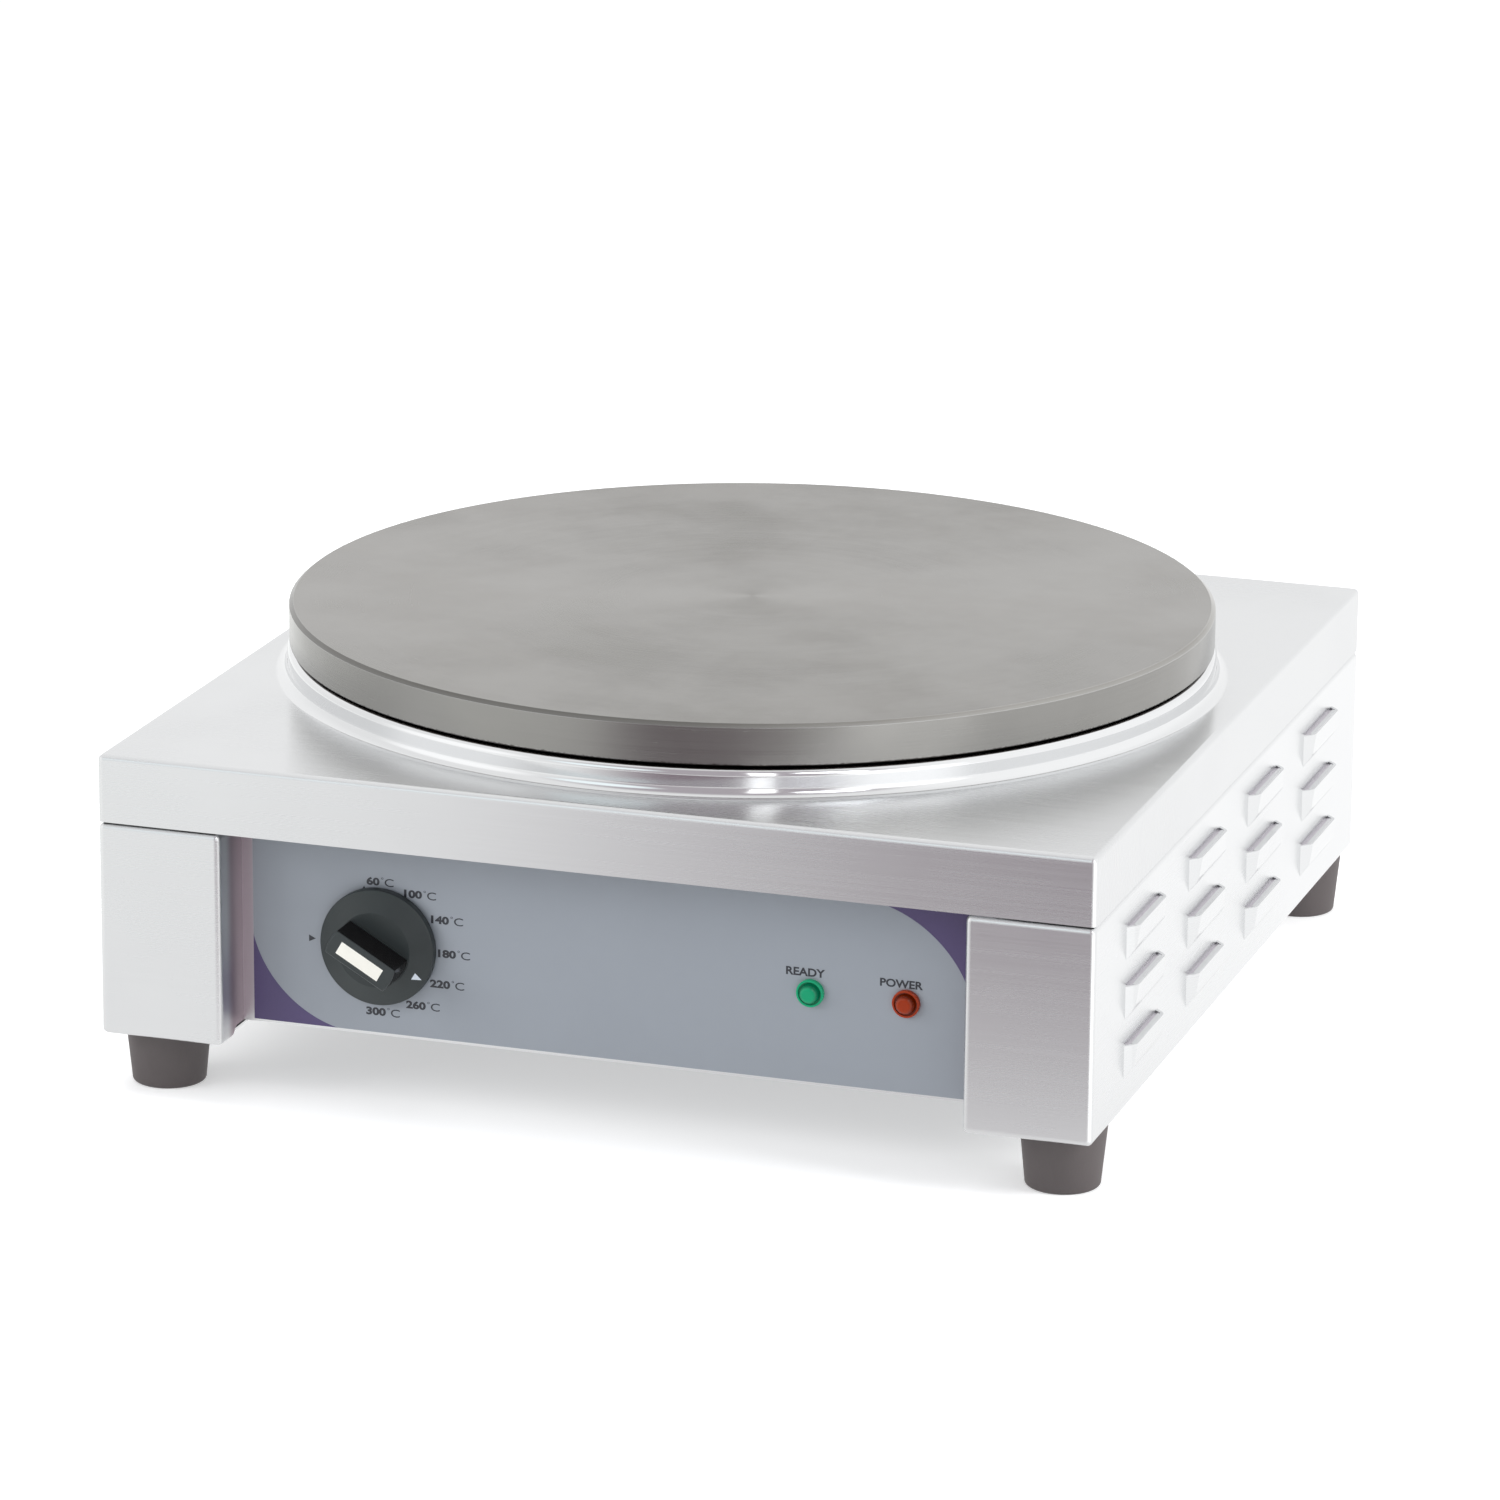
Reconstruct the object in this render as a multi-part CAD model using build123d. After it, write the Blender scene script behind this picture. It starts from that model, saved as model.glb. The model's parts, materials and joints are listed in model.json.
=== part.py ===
from build123d import *
import os
from math import cos, radians, sin, sqrt

# Electric crepe maker: a round cast-iron plate on a drawn stainless cover, over a folded
# sheet-metal housing with a recessed control panel.
# Millimetres. +X to the right of someone facing the controls, -Y towards them, +Z up.
# The origin is on the table, under the middle of the whole machine's bounding box.

# ---- driving dimensions -------------------------------------------------------------------
PLATE_R = 199.0          # cooking plate, sold as 400 mm
PLATE_H = 17.5           # rim of the plate, top to bottom
COLLAR_R = 200.0         # drawn collar that carries it
BODY_W = 428.0
BODY_D = 436.0
WALL_H = 91.6            # folded side walls, underside to upper edge
SEAM = 0.6               # open joint line between the walls and the cover
SKIRT_H = 28.8           # cover's downturned edge
BOSS_H = 12.2            # drawn collar, above the deck
FOOT_H = 26.0
SHEET = 1.0              # stainless sheet of every outer panel
BEND = 2.5               # outside radius of the folds
POST_W = 54.0            # front posts, either side of the controls
RECESS = 24.0            # control panel behind the front of the posts
LIP = 10.0               # inward fold along the upper edge of posts and walls
GLAND_PROUD = 21.0       # cable gland behind the rear edge

# ---- levels and planes that follow from them ----------------------------------------------
Z_BASE = FOOT_H
Z_WALL = Z_BASE + WALL_H
Z_SKIRT = Z_WALL + SEAM
Z_DECK = Z_SKIRT + SKIRT_H
Z_BOSS = Z_DECK + BOSS_H
GASKET = 1.0
Z_RIM = Z_BOSS + GASKET                      # underside of the plate's rim
Z_TOP = Z_RIM + PLATE_H
HALF_W = BODY_W / 2
Y_FRONT = -(BODY_D + GLAND_PROUD) / 2
Y_REAR = Y_FRONT + BODY_D
Y_MID = (Y_FRONT + Y_REAR) / 2
POST_X = HALF_W - POST_W                     # inner face of the posts
OVERLAY = 0.4
Y_OVERLAY = Y_FRONT + RECESS                 # face that carries the scale
Y_PANEL = Y_OVERLAY + OVERLAY                # front of the steel panel
Y_PANEL_BACK = Y_PANEL + SHEET
RETURN = 12.0                                # depth of the panel's side folds
Y_RETURN = Y_PANEL + RETURN
PANEL_Z = Z_BASE + 4.5                       # lower edge of the control panel
PANEL_TOP = Z_DECK - SHEET
RIVET_R = 1.6
REAR_T = 1.2
Y_REAR_PANEL = Y_REAR - SHEET                # outer face of the rear panel
BASE_T = 1.2
Z_BASE_TOP = Z_BASE + SHEET + BASE_T
FLANGE_W = 42.0                              # side walls' folds under the floor and at the rear

# ---- cooking plate and what heats it ------------------------------------------------------
PLATE_X, PLATE_Y = -3.0, Y_MID + 4.0         # plate and collar sit slightly off the middle
RIM_W = 15.0
PLATE_T = 10.5                               # web of the plate, inside its rim
Z_WEB = Z_TOP - PLATE_T
OPENING_R = 176.0                            # hole in the top of the drawn collar
TRAY_R = 170.0
TRAY_T = 0.8
TRAY_H = 26.0
STUD_RING = 112.0
STUD_R = 3.0
ELEMENT_R = 4.25
ELEMENT_RINGS = (150.0, 80.0)
ELEMENT_BEND = 14.0
CLAMP_T = 2.0
CLAMP_W = 24.0
Z_ELEMENT = Z_WEB - ELEMENT_R
Z_CLAMP = Z_ELEMENT - ELEMENT_R - CLAMP_T    # underside of the clamping cross
Z_TRAY = Z_BOSS - SHEET - TRAY_H             # underside of the tray
Z_LEAD_END = Z_TRAY - 14                     # lower ends of the heaters' sheaths
PIN_R = 1.8
BEAD_H = 6.0

# ---- controls -----------------------------------------------------------------------------
KNOB_X = -98.6
CONTROL_Z = Z_BASE + 44.0
KNOB_R = 25.0
KNOB_GAP = 1.0                               # between the film and the back of the knob
KNOB_H = RECESS - KNOB_GAP                   # back of the knob to the grip's face, level with the posts
KNOB_RIM = 3.4
KNOB_CONE = 3.8
HUB_R = 16.0
GRIP_L = 31.0
GRIP_W = 11.0
INLAY_L = 20.7
INLAY_W = 5.8
INLAY_T = 0.8
KNOB_SET = 120.0                             # pointer at rest, clockwise from the top
SPINDLE_R = 3.0
FLAT = 2.0                                   # axis to the flat of the spindle
RUNNING = 0.05                               # radial clearance of the spindle in its bush
BUSH_R = 5.0
THERMO_PITCH = 28.0                          # between the thermostat's two screws
THERMO_PLATE_T = 1.5
CASE_DEPTH = 26.0
BULB_R = 3.0
BULB_X = (-50.0, 50.0)
CAPILLARY_X = -62.0
CAPILLARY_R = 1.0
LAMP_X = {"ready": 88.3, "power": 129.0}
LENS_R = 5.8
LAMP_R = 5.0

# ---- side louvres, four columns of three --------------------------------------------------
LOUVRE_L = 51.0
LOUVRE_H = 14.0
LOUVRE_RISE = 4.2
LOUVRE_END = 4.5                             # slope of its two ends
LOUVRE_CORNER = 5.0                          # rounding where it runs back into the wall
LOUVRE_NOSE = 6.0                            # rounding of its two ends
LOUVRE_BAFFLE = 4.0                          # wall left standing behind the mouth
LOUVRE_PITCH_Y = 97.0
LOUVRE_PITCH_Z = 25.2
LOUVRE_TOP = Z_BASE + 78.3
BRACKET_W = 30.0                             # angles that carry the cover
BRACKET_Y = (Y_MID - LOUVRE_PITCH_Y, Y_MID + LOUVRE_PITCH_Y)

# ---- feet and fasteners -------------------------------------------------------------------
FOOT_TOP_R = 18.0
FOOT_BOTTOM_R = 15.4
FOOT_X = 195.0
FOOT_Y = (Y_MID - 191.0, Y_MID + 199.0)
FOOT_POCKET_R = 6.5
FOOT_POCKET_H = 13.0
M5, M4 = 2.5, 2.0                            # radii of the screws
SCREW_HEAD = 3.6                             # radius of an M4 head
HOLE = 0.2                                   # clearance round a screw
GLAND_X, GLAND_Z = 148.0, Z_BASE + 36.0
GLAND_R = 8.0
GLAND_BORE = 4.5
BLOCK_X, BLOCK_Y = 100.0, Y_REAR - 60        # three-way block for the supply wires
BLOCK_H = 18.0
BLOCK_PITCH = 15.0
Z_BLOCK_WAY = Z_BASE_TOP + 8                 # axis of its ways


# ---- small helpers ------------------------------------------------------------------------
def box(x0, x1, y0, y1, z0, z1):
    return Pos((x0 + x1) / 2, (y0 + y1) / 2, (z0 + z1) / 2) * Box(x1 - x0, y1 - y0, z1 - z0)


def rod(radius, start, end):
    """Cylinder between two points."""
    start, end = Vector(*start), Vector(*end)
    return extrude(Plane(start, z_dir=end - start) * Circle(radius), (end - start).length)


def hexagon(across, start, end):
    """Hexagonal prism between two points; across is its width over flats."""
    start, end = Vector(*start), Vector(*end)
    plane = Plane(start, z_dir=end - start)
    return extrude(plane * RegularPolygon(across / sqrt(3), 6), (end - start).length)


def ring(outer, inner, z0, z1, centre=(PLATE_X, PLATE_Y)):
    washer = Circle(outer) - Circle(inner)
    return Pos(*centre, z0) * extrude(washer, z1 - z0)


def turned(points, centre=(PLATE_X, PLATE_Y)):
    """Solid of revolution about an upright axis, from its half section in (radius, height)."""
    section = make_face(Polyline(*points, close=True))
    return Pos(*centre, 0) * revolve(Plane.XZ * section, Axis.Z)


def rounded(face, corners):
    """Rounds the corners of a flat face that lie nearest to the given points."""
    for x, y, radius in corners:
        corner = min(face.vertices(), key=lambda v: (v.X - x) ** 2 + (v.Y - y) ** 2)
        face = fillet(corner, radius)
    return face


def mirrored(shape):
    return mirror(shape, Plane.YZ)


def stud_places():
    """Four places on the stud circle, on the plate's diagonals."""
    reach = STUD_RING / sqrt(2)
    return [(PLATE_X + x, PLATE_Y + y) for x in (-reach, reach) for y in (-reach, reach)]


# ---- drawn cover --------------------------------------------------------------------------
def collar_form(wall_r, z_top, shoulder, cove, z_deck):
    """Filled shape of the drawn collar: cove at the deck, short wall, round shoulder."""
    skirt = wall_r + cove + 1
    outline = [(0, z_deck - 1), (0, z_top), (wall_r, z_top), (wall_r, z_deck),
               (skirt, z_deck), (skirt, z_deck - 1)]
    section = make_face(Polyline(*outline, close=True))
    section = rounded(section, [(wall_r, z_top, shoulder), (wall_r, z_deck, cove)])
    return Pos(PLATE_X, PLATE_Y, 0) * revolve(Plane.XZ * section, Axis.Z)


def pan_form(inset):
    """Filled shape of the cover's pan, moved in by inset on every face but the open one."""
    outline = RectangleRounded(BODY_W - 2 * inset, BODY_D - 2 * inset, BEND - inset)
    pan = Pos(0, Y_MID, Z_SKIRT) * extrude(outline, SKIRT_H - inset)
    return fillet(pan.faces().sort_by(Axis.Z)[-1].edges(), BEND - inset)


def top_cover():
    shoulder, cove = 3.5, 4.8
    outside = pan_form(0) + collar_form(COLLAR_R, Z_BOSS, shoulder, cove, Z_DECK)
    inside = pan_form(SHEET) + collar_form(
        COLLAR_R - SHEET, Z_BOSS - SHEET, shoulder - SHEET, cove + SHEET, Z_DECK - SHEET)
    opening = Pos(PLATE_X, PLATE_Y, Z_DECK) * extrude(Circle(OPENING_R), 2 * BOSS_H)
    cover = outside - inside - opening
    for x, z in cover_screw_places():
        cover -= rod(M4 + HOLE, (x, Y_REAR - 5, z), (x, Y_REAR + 1, z))
    return cover


# ---- folded side walls with their posts ---------------------------------------------------
def louvre_form(inset):
    """Pressed hood, cut open along its upper edge. Local +Z is outwards, +Y is up.
    With an inset it is the hollow behind the hood, one sheet thickness further in."""
    length, height, crown = LOUVRE_L / 2 - inset, LOUVRE_H - inset, LOUVRE_RISE - inset
    shoulder = -height + LOUVRE_CORNER
    profile = make_face(Polyline(
        (0, -inset), (0, crown), (shoulder, 0.8 * LOUVRE_RISE - inset), (-height, -inset),
        close=True))
    profile = rounded(profile, [(shoulder, crown, LOUVRE_CORNER)])
    plan = make_face(Polyline(
        (-length, -inset), (-length + LOUVRE_END, crown), (length - LOUVRE_END, crown),
        (length, -inset), close=True))
    nose = LOUVRE_NOSE - inset
    plan = rounded(plan, [(-length + LOUVRE_END, crown, nose), (length - LOUVRE_END, crown, nose)])
    along = extrude(Plane.YZ * profile, length, both=True)
    across = extrude(Plane.XZ * plan, height)
    return along & across


def louvre_void():
    """Hollow behind the hood; its window in the wall begins below the mouth."""
    baffle = Pos(0, -LOUVRE_BAFFLE / 2, -SHEET / 2) * Box(LOUVRE_L, LOUVRE_BAFFLE, SHEET)
    return louvre_form(SHEET) - baffle


def louvre_places():
    for column in range(4):
        for row in range(3):
            y = Y_MID + (column - 1.5) * LOUVRE_PITCH_Y
            yield Plane((HALF_W, y, LOUVRE_TOP - row * LOUVRE_PITCH_Z),
                        x_dir=(0, 1, 0), z_dir=(1, 0, 0))


def side_wall_mouth():
    """Opening between the lips along the top, with a notch for each cover bracket."""
    low, high = Z_WALL - 2 * SHEET, Z_WALL + SHEET
    inner, back = HALF_W - SHEET, Y_REAR - SHEET
    mouth = make_face(Polyline(
        (POST_X + SHEET, Y_RETURN + 10), (POST_X + SHEET, Y_FRONT + LIP),
        (HALF_W - LIP, Y_FRONT + LIP), (HALF_W - LIP, back - LIP), (inner, back - LIP),
        (inner, back), (HALF_W - FLANGE_W - 5, back), (HALF_W - FLANGE_W - 5, Y_RETURN + 10),
        close=True))
    mouth = rounded(mouth, [(inner, back, BEND - SHEET)])
    opening = Pos(0, 0, low) * extrude(mouth, high - low)
    half = BRACKET_W / 2 + 0.5
    for y in BRACKET_Y:
        opening += box(HALF_W - LIP - 1, inner, y - half, y + half, low, high)
    return opening


def post_corner():
    """Lower rear corner taken off the fold that turns back from the post."""
    clear, reach = 13.0, 3.0
    notch = box(POST_X - 1, POST_X + reach, Y_FRONT + clear, Y_RETURN + 1, Z_BASE - 1, PANEL_Z)
    upper = min(notch.edges().filter_by(Axis.X), key=lambda e: e.center().Y - e.center().Z)
    return fillet(upper, PANEL_Z - Z_BASE)


def side_wall():
    """Right side wall, post, lower flange and upper lips, folded from one sheet."""
    flange_x = HALF_W - FLANGE_W
    outline = make_face(Polyline(
        (POST_X, Y_RETURN), (POST_X, Y_FRONT), (HALF_W, Y_FRONT), (HALF_W, Y_REAR),
        (flange_x, Y_REAR), (flange_x, Y_RETURN), close=True))
    corners = [(POST_X, Y_FRONT), (HALF_W, Y_FRONT), (HALF_W, Y_REAR)]
    outside = Pos(0, 0, Z_BASE) * extrude(
        rounded(outline, [(x, y, BEND) for x, y in corners]), WALL_H)
    faces = outside.faces().sort_by(Axis.Z)
    folds = [e for face in (faces[0], faces[-1]) for e in face.edges()
             if abs(e.center().X - flange_x) > 1 and abs(e.center().Y - Y_RETURN) > 1]
    outside = fillet(folds, BEND)
    hollow = make_face(Polyline(
        (POST_X + SHEET, Y_RETURN + 10), (POST_X + SHEET, Y_FRONT + SHEET),
        (HALF_W - SHEET, Y_FRONT + SHEET), (HALF_W - SHEET, Y_REAR - SHEET),
        (flange_x - 5, Y_REAR - SHEET), (flange_x - 5, Y_RETURN + 10), close=True))
    hollow = rounded(hollow, [
        (POST_X + SHEET, Y_FRONT + SHEET, BEND - SHEET),
        (HALF_W - SHEET, Y_FRONT + SHEET, BEND - SHEET),
        (HALF_W - SHEET, Y_REAR - SHEET, BEND - SHEET)])
    wall = outside - Pos(0, 0, Z_BASE + SHEET) * extrude(hollow, WALL_H - 2 * SHEET)
    wall -= side_wall_mouth() + post_corner()
    hood, void = louvre_form(0), louvre_void()
    for place in louvre_places():
        wall += place * hood
    for place in louvre_places():
        wall -= place * void
    for y in FOOT_Y:
        wall -= rod(M5 + HOLE, (FOOT_X, y, Z_BASE - 1), (FOOT_X, y, Z_BASE + 5))
    for x, z in rear_screw_places():
        if x > 0:
            wall -= rod(M4 + HOLE, (x, Y_REAR - 5, z), (x, Y_REAR + 1, z))
    for x, y in base_screw_places():
        if x > 0:
            wall -= rod(M4 + HOLE, (x, y, Z_BASE - 1), (x, y, Z_BASE + 5))
    for y, z in rivet_places():
        wall -= rod(RIVET_R + HOLE, (POST_X - 1, y, z), (POST_X + 3, y, z))
    return wall


# ---- control panel ------------------------------------------------------------------------
def control_holes():
    """Cutters for the lamps and the thermostat's bush, through film and panel."""
    holes = rod(BUSH_R + HOLE, (KNOB_X, Y_FRONT, CONTROL_Z), (KNOB_X, Y_RETURN, CONTROL_Z))
    for x in LAMP_X.values():
        holes += rod(LAMP_R + HOLE, (x, Y_FRONT, CONTROL_Z), (x, Y_RETURN, CONTROL_Z))
    return holes


def front_panel():
    """Folded pan: face, two side folds, a lower fold and a top fold under the deck."""
    inside = POST_X - SHEET
    outer = box(-POST_X, POST_X, Y_PANEL, Y_RETURN, PANEL_Z, PANEL_TOP)
    inner = box(-inside, inside, Y_PANEL_BACK, Y_RETURN + 1, PANEL_Z + SHEET, PANEL_TOP - SHEET)
    panel = outer - inner - control_holes()
    for side in (-1, 1):
        x = KNOB_X + side * THERMO_PITCH / 2
        panel -= rod(M4 + HOLE, (x, Y_PANEL - 1, CONTROL_Z), (x, Y_PANEL_BACK + 1, CONTROL_Z))
        for y, z in rivet_places():
            panel -= rod(RIVET_R + HOLE, (side * (POST_X - 3), y, z), (side * (POST_X + 1), y, z))
    return panel


def front_overlay():
    """Printed plastic film on the face of the panel."""
    margin, bottom = 5.0, 1.2
    film = box(-POST_X + margin, POST_X - margin, Y_OVERLAY, Y_PANEL, PANEL_Z + bottom, Z_WALL)
    for side in (-1, 1):
        x = KNOB_X + side * THERMO_PITCH / 2
        film -= rod(SCREW_HEAD + HOLE, (x, Y_OVERLAY - 1, CONTROL_Z), (x, Y_PANEL + 1, CONTROL_Z))
    return film - control_holes()


def rivet_places():
    y = (Y_PANEL_BACK + Y_RETURN) / 2
    return [(y, Z_BASE + 18), (y, Z_BASE + 74)]


def panel_rivets():
    """Blind rivets through the panel's side folds and the posts, with a head on each end."""
    head_h = 1.0
    inner, outer = POST_X - SHEET, POST_X + SHEET
    rivets = []
    for side in (-1, 1):
        for y, z in rivet_places():
            rivet = rod(RIVET_R, (side * inner, y, z), (side * outer, y, z))
            rivet += rod(2 * RIVET_R, (side * (inner - head_h), y, z), (side * inner, y, z))
            rivet += rod(2 * RIVET_R, (side * outer, y, z), (side * (outer + head_h), y, z))
            rivets.append(rivet)
    return rivets


# ---- rear panel, base and brackets --------------------------------------------------------
def rear_screw_places():
    return [(side * (HALF_W - 24), z) for side in (-1, 1) for z in (Z_BASE + 20, Z_BASE + 72)]


def cover_screw_places():
    return [(x, Z_DECK - 14) for x in (-150.0, 0.0, 150.0)]


def rear_panel():
    """Rear sheet behind the side walls' folds, with vent slots and the cord's hole."""
    edge, top = HALF_W - BEND, Z_DECK - BEND
    panel = box(-edge, edge, Y_REAR_PANEL - REAR_T, Y_REAR_PANEL, Z_BASE_TOP, top)
    slot = Plane.XZ * SlotOverall(38, 5)
    for column in range(5):
        for row in range(3):
            place = Pos(-140 + 50 * column, Y_REAR_PANEL + 2, Z_BASE + 22 + 18 * row)
            panel -= place * extrude(slot, 8, both=True)
    panel -= rod(GLAND_R + HOLE, (GLAND_X, Y_REAR - 9, GLAND_Z), (GLAND_X, Y_REAR + 2, GLAND_Z))
    for x, z in rear_screw_places() + cover_screw_places():
        panel -= rod(M4 + HOLE, (x, Y_REAR - 9, z), (x, Y_REAR + 2, z))
    return panel


def base_screw_places():
    return [(side * (HALF_W - 30), y) for side in (-1, 1) for y in (Y_MID - 110, Y_MID, Y_MID + 110)]


def base_plate():
    """Sheet floor with a front and a rear fold, vent slots and screw holes."""
    edge = HALF_W - SHEET - 0.2
    z0 = Z_BASE + SHEET
    y_front, y_rear = Y_RETURN + 0.2, Y_REAR_PANEL - REAR_T
    floor = box(-edge, edge, y_front, y_rear, z0, Z_BASE_TOP)
    floor += box(-POST_X + 2, POST_X - 2, y_front, y_front + BASE_T, z0, z0 + 16)
    slot = SlotOverall(70, 6)
    for column in range(3):
        for row in range(5):
            place = Pos(-95 + 95 * column, Y_MID - 56 + 28 * row, z0 - 1)
            floor -= place * extrude(slot, 4)
    for side in (-1, 1):
        floor -= rod(M5 + HOLE, (side * FOOT_X, FOOT_Y[1], z0 - 1), (side * FOOT_X, FOOT_Y[1], z0 + 3))
    for x, y in base_screw_places():
        floor -= rod(M4 + HOLE, (x, y, z0 - 1), (x, y, z0 + 3))
    return floor


def cover_brackets():
    """Four angles on the side walls that carry the deck."""
    brackets = []
    leg, t = 16.0, 1.5
    for side in (-1, 1):
        for y in BRACKET_Y:
            wall, inner = side * (HALF_W - SHEET), side * (HALF_W - SHEET - leg)
            x0, x1 = sorted((wall, wall - side * t))
            u0, u1 = sorted((wall, inner))
            y0, y1 = y - BRACKET_W / 2, y + BRACKET_W / 2
            angle = box(x0, x1, y0, y1, Z_WALL - 26, Z_DECK - SHEET)
            angle += box(u0, u1, y0, y1, Z_DECK - SHEET - t, Z_DECK - SHEET)
            bend = angle.edges().filter_by(Axis.Y).sort_by(
                lambda e: side * e.center().X + e.center().Z)[-1]
            brackets.append(fillet(bend, BEND))
    return brackets


# ---- cooking plate, heater and insulation -------------------------------------------------
def cooking_plate():
    """Cast plate: chamfered upper edge, deep rim and four bosses for the studs."""
    land, drop, relief = 1.8, 1.5, 0.6
    plate = turned([
        (0, Z_WEB), (0, Z_TOP), (PLATE_R - land, Z_TOP), (PLATE_R, Z_TOP - drop),
        (PLATE_R, Z_RIM + relief), (PLATE_R - relief, Z_RIM), (PLATE_R - RIM_W, Z_RIM),
        (PLATE_R - RIM_W - 4, Z_WEB)])
    boss_r, boss_h = 9.0, 8.0
    for x, y in stud_places():
        plate += rod(boss_r, (x, y, Z_WEB - boss_h), (x, y, Z_WEB + 1))
    for x, y in stud_places():
        plate -= rod(STUD_R + 0.1, (x, y, Z_WEB - boss_h - 1), (x, y, Z_WEB))
    return plate


def plate_gasket():
    return ring(PLATE_R - 8, OPENING_R + 11, Z_BOSS, Z_RIM)


def tray():
    """Dished steel tray whose flange closes against the underside of the collar."""
    flange = TRAY_R + 15
    dish = turned([
        (0, Z_TRAY), (TRAY_R, Z_TRAY), (TRAY_R, Z_TRAY + TRAY_H - TRAY_T),
        (flange, Z_TRAY + TRAY_H - TRAY_T), (flange, Z_TRAY + TRAY_H),
        (TRAY_R - TRAY_T, Z_TRAY + TRAY_H), (TRAY_R - TRAY_T, Z_TRAY + TRAY_T),
        (0, Z_TRAY + TRAY_T)])
    for x, y in stud_places():
        dish -= rod(STUD_R + HOLE, (x, y, Z_TRAY - 1), (x, y, Z_TRAY + 2))
    return dish - lead_holes(Z_TRAY - 1, Z_TRAY + 2)


def insulation():
    """Ceramic-fibre disc between the tray and the clamping cross."""
    disc = ring(TRAY_R - TRAY_T - 0.3, 1.0, Z_TRAY + TRAY_T, Z_CLAMP)
    for x, y in stud_places():
        disc -= rod(8, (x, y, Z_TRAY), (x, y, Z_CLAMP + 1))
    for radius in ELEMENT_RINGS:
        for (x, y, _), drop in zip(element_ends(radius), lead_drops(radius)):
            disc -= rod_bend((x, y), drop, ELEMENT_R + 1)
    return disc - lead_holes(Z_TRAY, Z_CLAMP + 1)


def element_ends(radius):
    """Places where a ring element turns down, either side of its rear gap."""
    spread = 1200.0 / radius
    return [(PLATE_X + radius * cos(radians(a)), PLATE_Y + radius * sin(radians(a)), a)
            for a in (90 - spread, 90 + spread)]


def lead_drops(radius):
    """Where the turned-down ends stand, seen from above."""
    drops = []
    for (x, y, a), way in zip(element_ends(radius), (1, -1)):
        tangent = (-sin(radians(a)) * way, cos(radians(a)) * way)
        drops.append((x + ELEMENT_BEND * tangent[0], y + ELEMENT_BEND * tangent[1]))
    return drops


def lead_holes(z0, z1):
    """Holes for the elements' ends and the thermostat's capillary."""
    holes = rod(3, (CAPILLARY_X, PLATE_Y, z0), (CAPILLARY_X, PLATE_Y, z1))
    for radius in ELEMENT_RINGS:
        for x, y in lead_drops(radius):
            holes += rod(ELEMENT_R + 1.5, (x, y, z0), (x, y, z1))
    return holes


def heating_element(radius):
    """Tubular heater bent into an open ring, with both ends turned down through the tray."""
    (x0, y0, a0), (x1, y1, a1) = element_ends(radius)
    drop0, drop1 = lead_drops(radius)
    start_bend = rod_bend((x0, y0), drop0)
    end_bend = rod_bend((x1, y1), drop1)
    sweep_angle = 360 - (a1 - a0)
    body = Pos(PLATE_X, PLATE_Y, Z_ELEMENT) * Rot(0, 0, a1) * revolve(
        Plane.XZ * (Pos(radius, 0) * Circle(ELEMENT_R)), Axis.Z, sweep_angle)
    body += start_bend + end_bend
    for x, y in (drop0, drop1):
        body += rod(ELEMENT_R, (x, y, Z_LEAD_END), (x, y, Z_ELEMENT - ELEMENT_BEND))
    return body


def rod_bend(start, end, thickness=ELEMENT_R):
    """Quarter bend from a point of the ring down to an upright end."""
    along = Vector(end[0] - start[0], end[1] - start[1], 0).normalized()
    pivot = Vector(start[0], start[1], Z_ELEMENT - ELEMENT_BEND)
    axis = Axis(pivot, Vector(0, 0, 1).cross(along))
    section = Plane(Vector(start[0], start[1], Z_ELEMENT), z_dir=along) * Circle(thickness)
    return revolve(section, axis, 90)


def lead_ends():
    return [place for radius in ELEMENT_RINGS for place in lead_drops(radius)]


def terminal_beads():
    """Ceramic beads that insulate the pins where they leave the heaters."""
    low, high = Z_LEAD_END - BEAD_H, Z_LEAD_END
    return [ring(3.2, PIN_R + RUNNING, low, high, place) for place in lead_ends()]


def terminal_pins():
    """Threaded pins of both heaters, which take the wires."""
    return [rod(PIN_R, (x, y, Z_LEAD_END - 16), (x, y, Z_LEAD_END)) for x, y in lead_ends()]


def element_clamp():
    """Cross of flat bar that presses both rings against the plate."""
    bar = Box(2 * (ELEMENT_RINGS[0] + 8), CLAMP_W, CLAMP_T)
    cross = Rot(0, 0, 45) * bar + Rot(0, 0, -45) * bar
    cross = Pos(PLATE_X, PLATE_Y, Z_CLAMP + CLAMP_T / 2) * cross
    for x, y in stud_places():
        cross -= rod(STUD_R + HOLE, (x, y, Z_CLAMP - 1), (x, y, Z_CLAMP + 4))
    return cross


def plate_studs():
    """Studs that hang from the plate's bosses and hold the cross and the tray."""
    return [rod(STUD_R, (x, y, Z_TRAY - 14), (x, y, Z_WEB - 0.5)) for x, y in stud_places()]


def stud_nuts(z0, height=5.0):
    nuts = []
    for x, y in stud_places():
        nut = hexagon(10, (x, y, z0), (x, y, z0 + height))
        nuts.append(nut - rod(STUD_R + 0.02, (x, y, z0 - 1), (x, y, z0 + height + 1)))
    return nuts


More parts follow.
